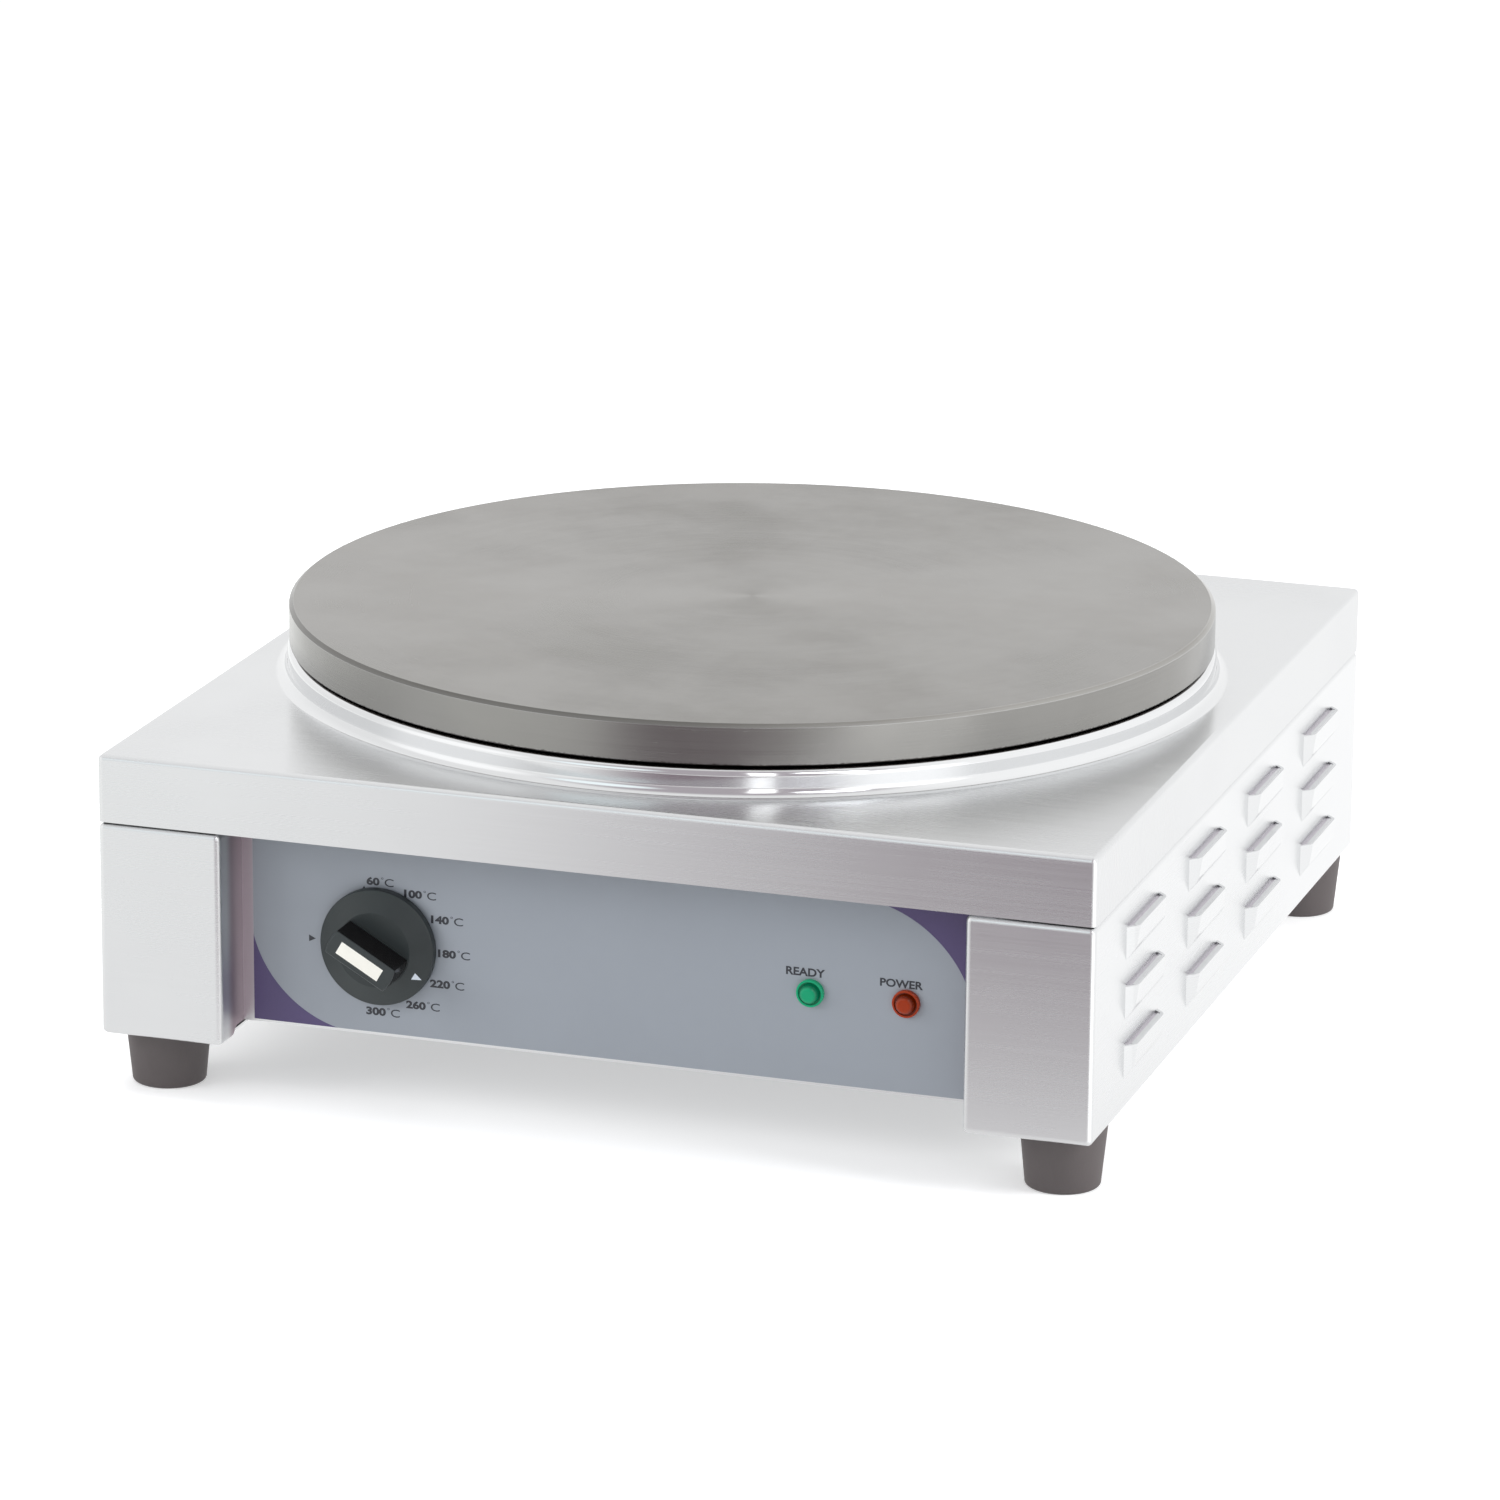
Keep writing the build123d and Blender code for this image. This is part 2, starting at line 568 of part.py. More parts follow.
# ---- thermostat and knob ------------------------------------------------------------------
def thermostat_body():
    """Capillary thermostat: mounting plate, threaded bush, case and blade terminals."""
    y0 = Y_PANEL_BACK
    y1 = y0 + THERMO_PLATE_T
    x, z = KNOB_X, CONTROL_Z
    body = box(x - 19, x + 19, y0, y1, z - 17, z + 17)
    body += rod(BUSH_R, (x, Y_OVERLAY - 0.5, z), (x, y1, z))
    y2 = y1 + CASE_DEPTH
    body += fillet(box(x - 17, x + 17, y1, y2, z - 15, z + 15).edges().filter_by(Axis.Y), 3)
    body += rod(9, (x, y2, z), (x, y2 + 4, z))
    blade_w, blade_t, blade_l = 6.3, 0.8, 10.0
    for dx, dz in ((-9, -9), (9, -9), (9, 9)):
        blade = Pos(x + dx, y2 + blade_l / 2, z + dz) * Box(blade_w, blade_l + 2, blade_t)
        body += blade
    body -= rod(SPINDLE_R + RUNNING, (x, Y_OVERLAY - 1, z), (x, y1 + 12, z))
    for side in (-1, 1):
        body -= rod(M4, (x + side * THERMO_PITCH / 2, y0 - 1, z), (x + side * THERMO_PITCH / 2, y1 + 8, z))
    return body


def thermostat_screws():
    """Two flat-headed screws behind the knob."""
    screws = []
    for side in (-1, 1):
        x = KNOB_X + side * THERMO_PITCH / 2
        screw = rod(M4 - 0.05, (x, Y_PANEL - 1, CONTROL_Z), (x, Y_PANEL_BACK + 8, CONTROL_Z))
        screws.append(screw + rod(SCREW_HEAD, (x, Y_PANEL - 1.4, CONTROL_Z), (x, Y_PANEL, CONTROL_Z)))
    return screws


def thermostat_bulb():
    """Sensing bulb under the plate and the capillary that leads to the thermostat."""
    z_bulb = Z_WEB - BULB_R
    bulb = rod(BULB_R, (BULB_X[0], PLATE_Y, z_bulb), (BULB_X[1], PLATE_Y, z_bulb))
    case_x, case_y, case_z = KNOB_X - 12, Y_PANEL_BACK + THERMO_PLATE_T + CASE_DEPTH, CONTROL_Z + 4
    route = [
        (BULB_X[0], PLATE_Y, z_bulb),
        (CAPILLARY_X, PLATE_Y, z_bulb),
        (CAPILLARY_X, PLATE_Y, Z_TRAY - 30),
        (CAPILLARY_X - 20, case_y + 60, Z_TRAY - 38),
        (case_x, case_y + 30, case_z),
        (case_x, case_y, case_z)]
    path = FilletPolyline(*route, radius=[8, 14, 20, 12])
    tube = sweep(Plane(path @ 0, z_dir=path % 0) * Circle(CAPILLARY_R), path)
    return bulb + tube


def bulb_clip():
    """Saddle on the cross that holds the bulb up against the plate."""
    z_bulb = Z_WEB - BULB_R
    low_x, high_x = PLATE_X - 6, PLATE_X + 6
    saddle = box(low_x, high_x, PLATE_Y - 8, PLATE_Y + 8, Z_CLAMP + CLAMP_T, z_bulb)
    return saddle - rod(BULB_R + RUNNING, (low_x - 1, PLATE_Y, z_bulb), (high_x + 1, PLATE_Y, z_bulb))


def at_knob(shape):
    """Stands a shape modelled about +Z, seen from above, on the knob's axis facing the user.
    Its +Y is where the pointer shows."""
    facing = Plane((KNOB_X, Y_OVERLAY - KNOB_GAP, CONTROL_Z), x_dir=(1, 0, 0), z_dir=(0, -1, 0))
    return facing * Rot(0, 0, -KNOB_SET) * shape


def control_knob():
    """Moulded knob: rimmed cone, round hub top and a bar grip with rounded ends."""
    cone = KNOB_RIM + KNOB_CONE
    section = make_face(Polyline(
        (0, 0), (0, cone), (HUB_R, cone), (KNOB_R, KNOB_RIM), (KNOB_R, 0), close=True))
    section = rounded(section, [(KNOB_R, KNOB_RIM, 0.8)])
    skirt = revolve(Plane.XZ * section, Axis.Z)
    grip_plan = Circle(GRIP_L / 2) & Rectangle(GRIP_W, GRIP_L + 1)
    grip = Pos(0, 0, cone - 1) * extrude(grip_plan, KNOB_H - cone + 1)
    grip = fillet(grip.faces().sort_by(Axis.Z)[-1].edges(), 1.0)
    knob = skirt + grip
    knob -= Pos(0, 0, KNOB_H - INLAY_T) * Box(
        INLAY_W, INLAY_L, 2 * INLAY_T, align=(Align.CENTER, Align.CENTER, Align.MIN))
    wall = 2.0
    under = make_face(Polyline(
        (7, -1), (7, cone - wall), (HUB_R - 1, cone - wall), (KNOB_R - wall, KNOB_RIM - wall),
        (KNOB_R - wall, -1), close=True))
    knob -= revolve(Plane.XZ * under, Axis.Z)
    socket = Circle(SPINDLE_R + 0.02) - Pos(0, -FLAT - 2.02) * Rectangle(3 * SPINDLE_R, 4)
    knob -= Pos(0, 0, -1) * extrude(socket, 16)
    return at_knob(knob)


def knob_inlay():
    slip = Box(INLAY_W, INLAY_L, INLAY_T, align=(Align.CENTER, Align.CENTER, Align.MIN))
    return at_knob(Pos(0, 0, KNOB_H - INLAY_T) * slip)


def thermostat_spindle():
    """Turning shaft with a flat, from inside the thermostat to inside the knob."""
    flat = Circle(SPINDLE_R) - Pos(0, -FLAT - 2) * Rectangle(3 * SPINDLE_R, 4)
    inside = Y_PANEL_BACK + THERMO_PLATE_T + 10 - (Y_OVERLAY - KNOB_GAP)
    shaft = extrude(flat, 14) + Pos(0, 0, -inside) * extrude(Circle(SPINDLE_R), inside)
    return at_knob(shaft)


# ---- indicator lamps ----------------------------------------------------------------------
def lamp_turned(x, points, corners=()):
    """Turned piece on a lamp's axis; heights are measured from the film towards the user."""
    section = rounded(make_face(Polyline(*points, close=True)), corners)
    facing = Plane((x, Y_OVERLAY, CONTROL_Z), x_dir=(1, 0, 0), z_dir=(0, -1, 0))
    return facing * revolve(Plane.XZ * section, Axis.Z)


def lamp_lens(x):
    """Coloured cap: outer collar, groove and a domed middle."""
    return lamp_turned(x, [
        (0, 0), (0, 4.4), (3.6, 4.4), (4.3, 1.1), (4.9, 1.1), (4.9, 2.0), (LENS_R, 2.0), (LENS_R, 0)],
        [(3.6, 4.4, 1.8), (LENS_R, 2.0, 0.4)])


def lamp_body(x):
    """Black barrel through the panel, with two blade terminals."""
    barrel = rod(LAMP_R, (x, Y_OVERLAY, CONTROL_Z), (x, Y_OVERLAY + 24, CONTROL_Z))
    for side in (-1, 1):
        barrel += box(x + side * 2.4 - 1.4, x + side * 2.4 + 1.4, Y_OVERLAY + 23, Y_OVERLAY + 31,
                      CONTROL_Z - 0.4, CONTROL_Z + 0.4)
    return barrel


def lamp_nuts():
    nuts = []
    for x in LAMP_X.values():
        nut = hexagon(14, (x, Y_PANEL_BACK, CONTROL_Z), (x, Y_PANEL_BACK + 3, CONTROL_Z))
        nuts.append(nut - rod(LAMP_R + 0.02, (x, Y_PANEL, CONTROL_Z), (x, Y_PANEL_BACK + 4, CONTROL_Z)))
    return nuts


# ---- mains connection ---------------------------------------------------------------------
def block_screw_places():
    return [(BLOCK_X + way * BLOCK_PITCH, BLOCK_Y + side) for way in (-1, 0, 1) for side in (-5, 5)]


def terminal_block():
    """Three-way ceramic block on the floor."""
    half_l, half_w = 1.6 * BLOCK_PITCH, 10.0
    block = box(BLOCK_X - half_l, BLOCK_X + half_l, BLOCK_Y - half_w, BLOCK_Y + half_w,
                Z_BASE_TOP, Z_BASE_TOP + BLOCK_H)
    for way in (-1, 0, 1):
        x = BLOCK_X + way * BLOCK_PITCH
        block -= rod(2.6, (x, BLOCK_Y - 11, Z_BLOCK_WAY), (x, BLOCK_Y + 11, Z_BLOCK_WAY))
    for x, y in block_screw_places():
        block -= rod(M5 + HOLE, (x, y, Z_BLOCK_WAY + 3), (x, y, Z_BASE_TOP + BLOCK_H + 1))
    return block


def terminal_screws():
    return [rod(M5, (x, y, Z_BLOCK_WAY + 3), (x, y, Z_BLOCK_WAY + 7)) for x, y in block_screw_places()]


def gland_span(radius, y0, y1):
    return rod(radius, (GLAND_X, y0, GLAND_Z), (GLAND_X, y1, GLAND_Z))


def cable_gland():
    """Threaded body through the rear panel, with its outer hexagon."""
    body = gland_span(GLAND_R, Y_REAR_PANEL - 9, Y_REAR_PANEL + 12)
    body += hexagon(20, (GLAND_X, Y_REAR_PANEL, GLAND_Z), (GLAND_X, Y_REAR_PANEL + 5, GLAND_Z))
    return body - gland_span(GLAND_BORE, Y_REAR - 20, Y_REAR + 30)


def gland_cap():
    """Domed cap nut over the outer thread."""
    y0, y1 = Y_REAR_PANEL + 5, Y_REAR + GLAND_PROUD
    cap = hexagon(20, (GLAND_X, y0, GLAND_Z), (GLAND_X, y0 + 10, GLAND_Z))
    dome = Plane((GLAND_X, y0 + 10, GLAND_Z), z_dir=(0, 1, 0)) * extrude(Circle(9.6), y1 - y0 - 10)
    cap += fillet(dome.faces().sort_by(Axis.Y)[-1].edges(), 3.5)
    cap -= gland_span(GLAND_R + 0.05, y0 - 1, Y_REAR_PANEL + 12.2)
    return cap - gland_span(GLAND_BORE, y0, y1 + 1)


def gland_locknut():
    y0 = Y_REAR_PANEL - REAR_T - 4
    nut = hexagon(22, (GLAND_X, y0, GLAND_Z), (GLAND_X, y0 + 4, GLAND_Z))
    return nut - gland_span(GLAND_R + 0.05, y0 - 1, y0 + 5)


# ---- feet and their fasteners -------------------------------------------------------------
def foot(x, y):
    """Tapered rubber foot with a pocket for its screw."""
    section = make_face(Polyline(
        (M5 + HOLE, FOOT_H), (FOOT_TOP_R, FOOT_H), (FOOT_BOTTOM_R, 0), (FOOT_POCKET_R, 0),
        (FOOT_POCKET_R, FOOT_POCKET_H), (M5 + HOLE, FOOT_POCKET_H), close=True))
    section = rounded(section, [(FOOT_BOTTOM_R, 0, 1.5), (FOOT_TOP_R, FOOT_H, 0.6)])
    return Pos(x, y, 0) * revolve(Plane.XZ * section, Axis.Z)


def foot_places():
    return [(side * FOOT_X, y) for y in FOOT_Y for side in (-1, 1)]


def foot_screws():
    screws = []
    for x, y in foot_places():
        seat = FOOT_POCKET_H - 1.0
        shank = rod(M5, (x, y, seat - 1), (x, y, Z_BASE + 12))
        screws.append(shank + rod(4.5, (x, y, seat - 3), (x, y, seat)))
    return screws


def foot_washers():
    return [ring(6.0, M5 + HOLE, FOOT_POCKET_H - 1.0, FOOT_POCKET_H, place) for place in foot_places()]


def foot_nuts():
    nuts = []
    for x, y in foot_places():
        z0 = Z_BASE + SHEET if y < Y_MID else Z_BASE_TOP
        nut = hexagon(8, (x, y, z0), (x, y, z0 + 4))
        nuts.append(nut - rod(M5 + 0.02, (x, y, z0 - 1), (x, y, z0 + 5)))
    return nuts


def pan_screw(seat, inward, length=6.0):
    """M4 screw: seat is the middle of the underside of its head, inward the way it goes in."""
    seat, inward = Vector(*seat), Vector(*inward)
    head = Plane(seat - inward * 2.2, z_dir=inward) * Pos(0, 0, 1.1) * Cylinder(SCREW_HEAD, 2.2)
    crown = min(head.edges().filter_by(GeomType.CIRCLE), key=lambda e: e.arc_center.dot(inward))
    return fillet(crown, 1.0) + rod(M4, seat - inward, seat + inward * length)


def rear_panel_screws():
    return [pan_screw((x, Y_REAR, z), (0, -1, 0)) for x, z in rear_screw_places()]


def cover_screws():
    return [pan_screw((x, Y_REAR, z), (0, -1, 0)) for x, z in cover_screw_places()]


def base_screws():
    return [pan_screw((x, y, Z_BASE), (0, 0, 1)) for x, y in base_screw_places()]


# ---- every piece, by name -----------------------------------------------------------------
right_wall = side_wall()
foot_names = ("foot_front_left", "foot_front_right", "foot_rear_left", "foot_rear_right")
parts = {
    "top_cover": top_cover(),
    "right_side_panel": right_wall,
    "left_side_panel": mirrored(right_wall),
    "front_panel": front_panel(),
    "front_overlay": front_overlay(),
    "panel_rivets": panel_rivets(),
    "rear_panel": rear_panel(),
    "base_plate": base_plate(),
    "cover_brackets": cover_brackets(),
    "cooking_plate": cooking_plate(),
    "plate_gasket": plate_gasket(),
    "heat_shield_tray": tray(),
    "insulation_disc": insulation(),
    "outer_heating_element": heating_element(ELEMENT_RINGS[0]),
    "inner_heating_element": heating_element(ELEMENT_RINGS[1]),
    "terminal_beads": terminal_beads(),
    "terminal_pins": terminal_pins(),
    "element_clamp": element_clamp(),
    "plate_studs": plate_studs(),
    "clamp_nuts": stud_nuts(Z_CLAMP - 5),
    "tray_nuts": stud_nuts(Z_TRAY - 5),
    "thermostat_body": thermostat_body(),
    "thermostat_screws": thermostat_screws(),
    "thermostat_bulb": thermostat_bulb(),
    "bulb_clip": bulb_clip(),
    "thermostat_spindle": thermostat_spindle(),
    "control_knob": control_knob(),
    "knob_inlay": knob_inlay(),
    "ready_lamp_lens": lamp_lens(LAMP_X["ready"]),
    "power_lamp_lens": lamp_lens(LAMP_X["power"]),
    "ready_lamp_body": lamp_body(LAMP_X["ready"]),
    "power_lamp_body": lamp_body(LAMP_X["power"]),
    "lamp_nuts": lamp_nuts(),
    "terminal_block": terminal_block(),
    "terminal_screws": terminal_screws(),
    "cable_gland": cable_gland(),
    "gland_cap": gland_cap(),
    "gland_locknut": gland_locknut(),
    "foot_screws": foot_screws(),
    "foot_washers": foot_washers(),
    "foot_nuts": foot_nuts(),
    "rear_panel_screws": rear_panel_screws(),
    "cover_screws": cover_screws(),
    "base_screws": base_screws(),
}
for name, place in zip(foot_names, foot_places()):
    parts[name] = foot(*place)

os.makedirs("parts", exist_ok=True)
for name, shape in parts.items():
    solids = shape if isinstance(shape, list) else [shape]
    pieces = [solid for piece in solids for solid in piece.solids()]
    whole = pieces[0] if len(pieces) == 1 else Compound(children=pieces)
    export_step(whole, os.path.join("parts", name + ".step"))
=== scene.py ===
import json
from math import acos, cos, degrees, pi, radians, sin

import bmesh
import bpy
from mathutils import Matrix, Vector


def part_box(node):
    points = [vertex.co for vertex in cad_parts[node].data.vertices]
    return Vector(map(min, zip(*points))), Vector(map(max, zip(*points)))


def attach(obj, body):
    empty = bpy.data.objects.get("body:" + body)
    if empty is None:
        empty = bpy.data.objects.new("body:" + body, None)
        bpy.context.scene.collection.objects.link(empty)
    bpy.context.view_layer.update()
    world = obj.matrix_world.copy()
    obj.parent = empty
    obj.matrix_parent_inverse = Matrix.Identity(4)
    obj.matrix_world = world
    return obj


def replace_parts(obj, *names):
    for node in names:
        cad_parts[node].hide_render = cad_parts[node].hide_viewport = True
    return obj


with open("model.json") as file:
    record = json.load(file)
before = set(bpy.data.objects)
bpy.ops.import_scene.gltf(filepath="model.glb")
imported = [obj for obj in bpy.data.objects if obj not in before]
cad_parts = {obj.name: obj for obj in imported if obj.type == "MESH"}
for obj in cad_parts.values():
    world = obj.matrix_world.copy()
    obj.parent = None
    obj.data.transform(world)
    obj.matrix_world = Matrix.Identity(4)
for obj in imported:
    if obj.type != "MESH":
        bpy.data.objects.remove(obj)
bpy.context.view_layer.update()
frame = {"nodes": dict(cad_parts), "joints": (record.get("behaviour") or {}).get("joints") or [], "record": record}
MM = 0.001


# ---- where things are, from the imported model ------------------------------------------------
def middle(node):
    low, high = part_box(node)
    return (low + high) / 2


HOUSING, KNOB = "housing", "knob"
FILM_LOW, FILM_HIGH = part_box("front_overlay")
FILM_Y = FILM_LOW.y
COVER_LOW, COVER_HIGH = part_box("top_cover")
HALF_W = (COVER_HIGH.x - COVER_LOW.x) / 2
MID_Y = (COVER_LOW.y + COVER_HIGH.y) / 2
SHEET = 1.0 * MM
DECK_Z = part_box("front_panel")[1].z + SHEET
PLATE_LOW, PLATE_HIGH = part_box("cooking_plate")
PLATE_MID = middle("cooking_plate")
PLATE_AXIS = (PLATE_MID.x, PLATE_MID.y, 0.0)
PLATE_R = (PLATE_HIGH.x - PLATE_LOW.x) / 2
PLATE_H = 17.5 * MM
PLATE_UNDER = PLATE_HIGH.z - PLATE_H
COLLAR_LEDGE = 1.0 * MM
COLLAR_R = PLATE_R + COLLAR_LEDGE
KNOB_AXIS = Vector(frame["joints"][0]["pos_m"])
KNOB_GAP = 1.0 * MM
KNOB_BACK = FILM_Y - KNOB_GAP
KNOB_R, KNOB_HUB_R, KNOB_RIM, KNOB_CONE = 25.0 * MM, 16.0 * MM, 3.4 * MM, 3.8 * MM
FLOOR_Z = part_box("foot_front_left")[0].z


# ---- colours --------------------------------------------------------------------------------
def srgb(r, g, b):
    """Linear colour from the 0 to 255 values of a screen."""
    def linear(v):
        v /= 255
        return v / 12.92 if v <= 0.04045 else ((v + 0.055) / 1.055) ** 2.4
    return (linear(r), linear(g), linear(b), 1.0)


STEEL = srgb(228, 229, 230)
INNER_STEEL = srgb(176, 178, 180)
LIP_PAINTED_SHADE = srgb(212, 207, 214)
RETURN_PAINTED_SHADE = srgb(172, 156, 165)
IRON = srgb(151, 150, 147)
IRON_STAIN = srgb(130, 127, 122)
IRON_GAP_SHADE = srgb(66, 60, 56)
FILM_GREY = srgb(152, 158, 166)
VIOLET = srgb(84, 72, 114)
INK = srgb(50, 52, 58)
KNOB_BLACK = srgb(50, 56, 57)
GRIP_PAINTED_SHADE = srgb(20, 18, 19)
KNOB_CREAM = srgb(240, 238, 229)
KNOB_WHITE = srgb(222, 230, 240)
LENS_GREEN = srgb(4, 138, 96)
LENS_AMBER = srgb(144, 45, 5)
RUBBER = srgb(88, 82, 82)
BLACK = srgb(34, 34, 35)
SEAL = srgb(48, 42, 42)
CERAMIC = srgb(232, 228, 218)
BRASS = srgb(202, 170, 96)
WHITE = (1.0, 1.0, 1.0, 1.0)


# ---- building node trees --------------------------------------------------------------------
def add(tree, kind, inputs=None, **settings):
    """Adds a node. Inputs are given by socket name or number, as values or as other sockets."""
    node = tree.nodes.new(kind)
    for name, value in settings.items():
        setattr(node, name, value)
    for socket, value in (inputs or {}).items():
        if isinstance(value, bpy.types.NodeSocket):
            tree.links.new(value, node.inputs[socket])
        else:
            node.inputs[socket].default_value = value
    return node


def calc(tree, operation, *values, clamp=False):
    inputs = dict(enumerate(values))
    return add(tree, "ShaderNodeMath", inputs, operation=operation, use_clamp=clamp).outputs[0]


def vector_calc(tree, operation, *values, output=0):
    inputs = dict(enumerate(values))
    return add(tree, "ShaderNodeVectorMath", inputs, operation=operation).outputs[output]


def scaled(tree, vector, amount):
    return add(tree, "ShaderNodeVectorMath", {0: vector, "Scale": amount}, operation="SCALE").outputs[0]


def split(tree, vector):
    return add(tree, "ShaderNodeSeparateXYZ", {0: vector}).outputs


def across_axis(tree, vector):
    """Distance of a point from the upright axis."""
    parts = split(tree, vector)
    level = add(tree, "ShaderNodeCombineXYZ", {0: parts[0], 1: parts[1]}).outputs[0]
    return vector_calc(tree, "LENGTH", level, output="Value")


def smooth_step(tree, value, start, end, low=0.0, high=1.0):
    """Value carried smoothly from low at start to high at end."""
    inputs = {"Value": value, "From Min": start, "From Max": end, "To Min": low, "To Max": high}
    return add(tree, "ShaderNodeMapRange", inputs, interpolation_type="SMOOTHSTEP").outputs[0]


def mix_colour(tree, factor, first, second):
    return add(tree, "ShaderNodeMix", {0: factor, 6: first, 7: second}, data_type="RGBA").outputs[2]


def mix_value(tree, factor, first, second):
    return add(tree, "ShaderNodeMix", {0: factor, 2: first, 3: second}, data_type="FLOAT").outputs[0]


def mix_vector(tree, factor, first, second):
    return add(tree, "ShaderNodeMix", {0: factor, 4: first, 5: second}, data_type="VECTOR").outputs[1]


def noise(tree, vector, scale, detail=2.0, roughness=0.5):
    inputs = {"Vector": vector, "Scale": scale, "Detail": detail, "Roughness": roughness}
    return add(tree, "ShaderNodeTexNoise", inputs).outputs[0]


def centred(tree, value, amount):
    """A 0 to 1 value turned into a swing of that amount either side of nothing."""
    return calc(tree, "MULTIPLY", calc(tree, "SUBTRACT", value, 0.5), 2 * amount)


def effect(name, inputs, outputs):
    """A shader node group with named sockets: tree, what comes in and the node to put results in."""
    tree = bpy.data.node_groups.new(name, "ShaderNodeTree")
    for label, start in inputs.items():
        kind = "NodeSocketVector" if isinstance(start, tuple) else "NodeSocketFloat"
        socket = tree.interface.new_socket(name=label, in_out="INPUT", socket_type=kind)
        socket.default_value = start
    for label in outputs:
        tree.interface.new_socket(name=label, in_out="OUTPUT", socket_type="NodeSocketFloat")
    given = tree.nodes.new("NodeGroupInput").outputs
    return tree, given, tree.nodes.new("NodeGroupOutput").inputs


def use(tree, group, **inputs):
    """Places an effect in a material; words of an input's name are joined by underscores."""
    node = add(tree, "ShaderNodeGroup", node_tree=group)
    for name, value in inputs.items():
        socket = node.inputs[name.replace("_", " ")]
        if isinstance(value, bpy.types.NodeSocket):
            tree.links.new(value, socket)
        else:
            socket.default_value = value
    return node.outputs


# ---- effects that several materials share ---------------------------------------------------
def make_brushed_grain():
    """Parallel scratches, drawn out along the axes whose Stretch is low."""
    tree, given, put = effect(
        "brushed_grain", {"Vector": (0.0, 0.0, 0.0), "Stretch": (10.0, 900.0, 900.0), "Contrast": 0.06},
        ("Tone", "Roughness Shift", "Height"))
    along = vector_calc(tree, "MULTIPLY", given["Vector"], given["Stretch"])
    fine = noise(tree, along, 1.0, 2.0, 0.5)
    bands = noise(tree, along, 0.11, 3.0, 0.6)
    both = calc(tree, "ADD", calc(tree, "MULTIPLY", fine, 0.7), calc(tree, "MULTIPLY", bands, 0.3))
    swing = calc(tree, "MULTIPLY", calc(tree, "SUBTRACT", both, 0.5), given["Contrast"])
    tree.links.new(calc(tree, "ADD", 1.0, calc(tree, "MULTIPLY", swing, 2.0)), put["Tone"])
    tree.links.new(centred(tree, both, 0.05), put["Roughness Shift"])
    tree.links.new(fine, put["Height"])
    return tree


def make_turned_lines():
    """Fine tool lines round an upright axis, on the faces and on the rim of a turned piece."""
    tree, given, put = effect(
        "turned_lines", {"Vector": (0.0, 0.0, 0.0), "Spacing": 0.0006, "Contrast": 0.08},
        ("Tone", "Roughness Shift", "Height"))
    height = split(tree, given["Vector"])[2]
    radius = across_axis(tree, given["Vector"])
    sweep = calc(tree, "DIVIDE", calc(tree, "ADD", radius, height), given["Spacing"])
    place = add(tree, "ShaderNodeCombineXYZ", {0: sweep}).outputs[0]
    drift = scaled(tree, given["Vector"], 6.0)
    lines = noise(tree, vector_calc(tree, "ADD", place, drift), 1.0, 3.0, 0.65)
    swing = calc(tree, "MULTIPLY", calc(tree, "SUBTRACT", lines, 0.5), given["Contrast"])
    tree.links.new(calc(tree, "ADD", 1.0, calc(tree, "MULTIPLY", swing, 2.0)), put["Tone"])
    tree.links.new(centred(tree, lines, 0.08), put["Roughness Shift"])
    tree.links.new(lines, put["Height"])
    return tree


def make_handling_haze():
    """Faint cloudy marks that hands and cloths leave on a surface."""
    tree, given, put = effect(
        "handling_haze", {"Vector": (0.0, 0.0, 0.0), "Scale": 9.0, "Amount": 0.04},
        ("Haze", "Tone"))
    cloud = noise(tree, given["Vector"], given["Scale"], 5.0, 0.62)
    haze = calc(tree, "MULTIPLY", smooth_step(tree, cloud, 0.35, 0.7), given["Amount"])
    tree.links.new(haze, put["Haze"])
    tree.links.new(calc(tree, "SUBTRACT", 1.0, calc(tree, "MULTIPLY", haze, 0.5)), put["Tone"])
    return tree


def make_edge_wear():
    """Mask of the convex and concave edges within a radius of the point."""
    tree, given, put = effect("edge_wear", {"Radius": 0.0008, "Gain": 6.0}, ("Edge",))
    eased = add(tree, "ShaderNodeBevel", {"Radius": given["Radius"]}, samples=6).outputs[0]
    plain = add(tree, "ShaderNodeNewGeometry").outputs["Normal"]
    agree = vector_calc(tree, "DOT_PRODUCT", eased, plain, output="Value")
    edge = calc(tree, "MULTIPLY", calc(tree, "SUBTRACT", 1.0, agree), given["Gain"], clamp=True)
    tree.links.new(edge, put["Edge"])
    return tree


def make_moulded_skin():
    """Fine spark-eroded texture of a moulding."""
    tree, given, put = effect(
        "moulded_skin", {"Vector": (0.0, 0.0, 0.0), "Scale": 1800.0}, ("Height", "Roughness Shift"))
    grains = noise(tree, given["Vector"], given["Scale"], 2.0, 0.5)
    clouds = noise(tree, given["Vector"], 60.0, 3.0, 0.5)
    tree.links.new(grains, put["Height"])
    tree.links.new(centred(tree, clouds, 0.06), put["Roughness Shift"])
    return tree


BRUSHED = make_brushed_grain()
TURNED = make_turned_lines()
HAZE = make_handling_haze()
WORN = make_edge_wear()
SKIN = make_moulded_skin()


# ---- materials ------------------------------------------------------------------------------
def surface(name, **constants):
    """A material with its Principled shader. Constants are set on the shader's own sockets."""
    material = bpy.data.materials.new(name)
    material.use_nodes = True
    tree = material.node_tree
    shader = tree.nodes["Principled BSDF"]
    for label, value in constants.items():
        shader.inputs[label.replace("_", " ")].default_value = value
    where = tree.nodes.new("ShaderNodeTexCoord").outputs["Object"]
    return material, tree, shader.inputs, where


def tint(tree, colour, *tones):
    """A colour multiplied by one or more tones."""
    total = tones[0]
    for tone in tones[1:]:
        total = calc(tree, "MULTIPLY", total, tone)
    return scaled(tree, colour[:3], total)


def bump(tree, height, distance, strength=1.0):
    inputs = {"Height": height, "Distance": distance, "Strength": strength}
    return add(tree, "ShaderNodeBump", inputs).outputs[0]


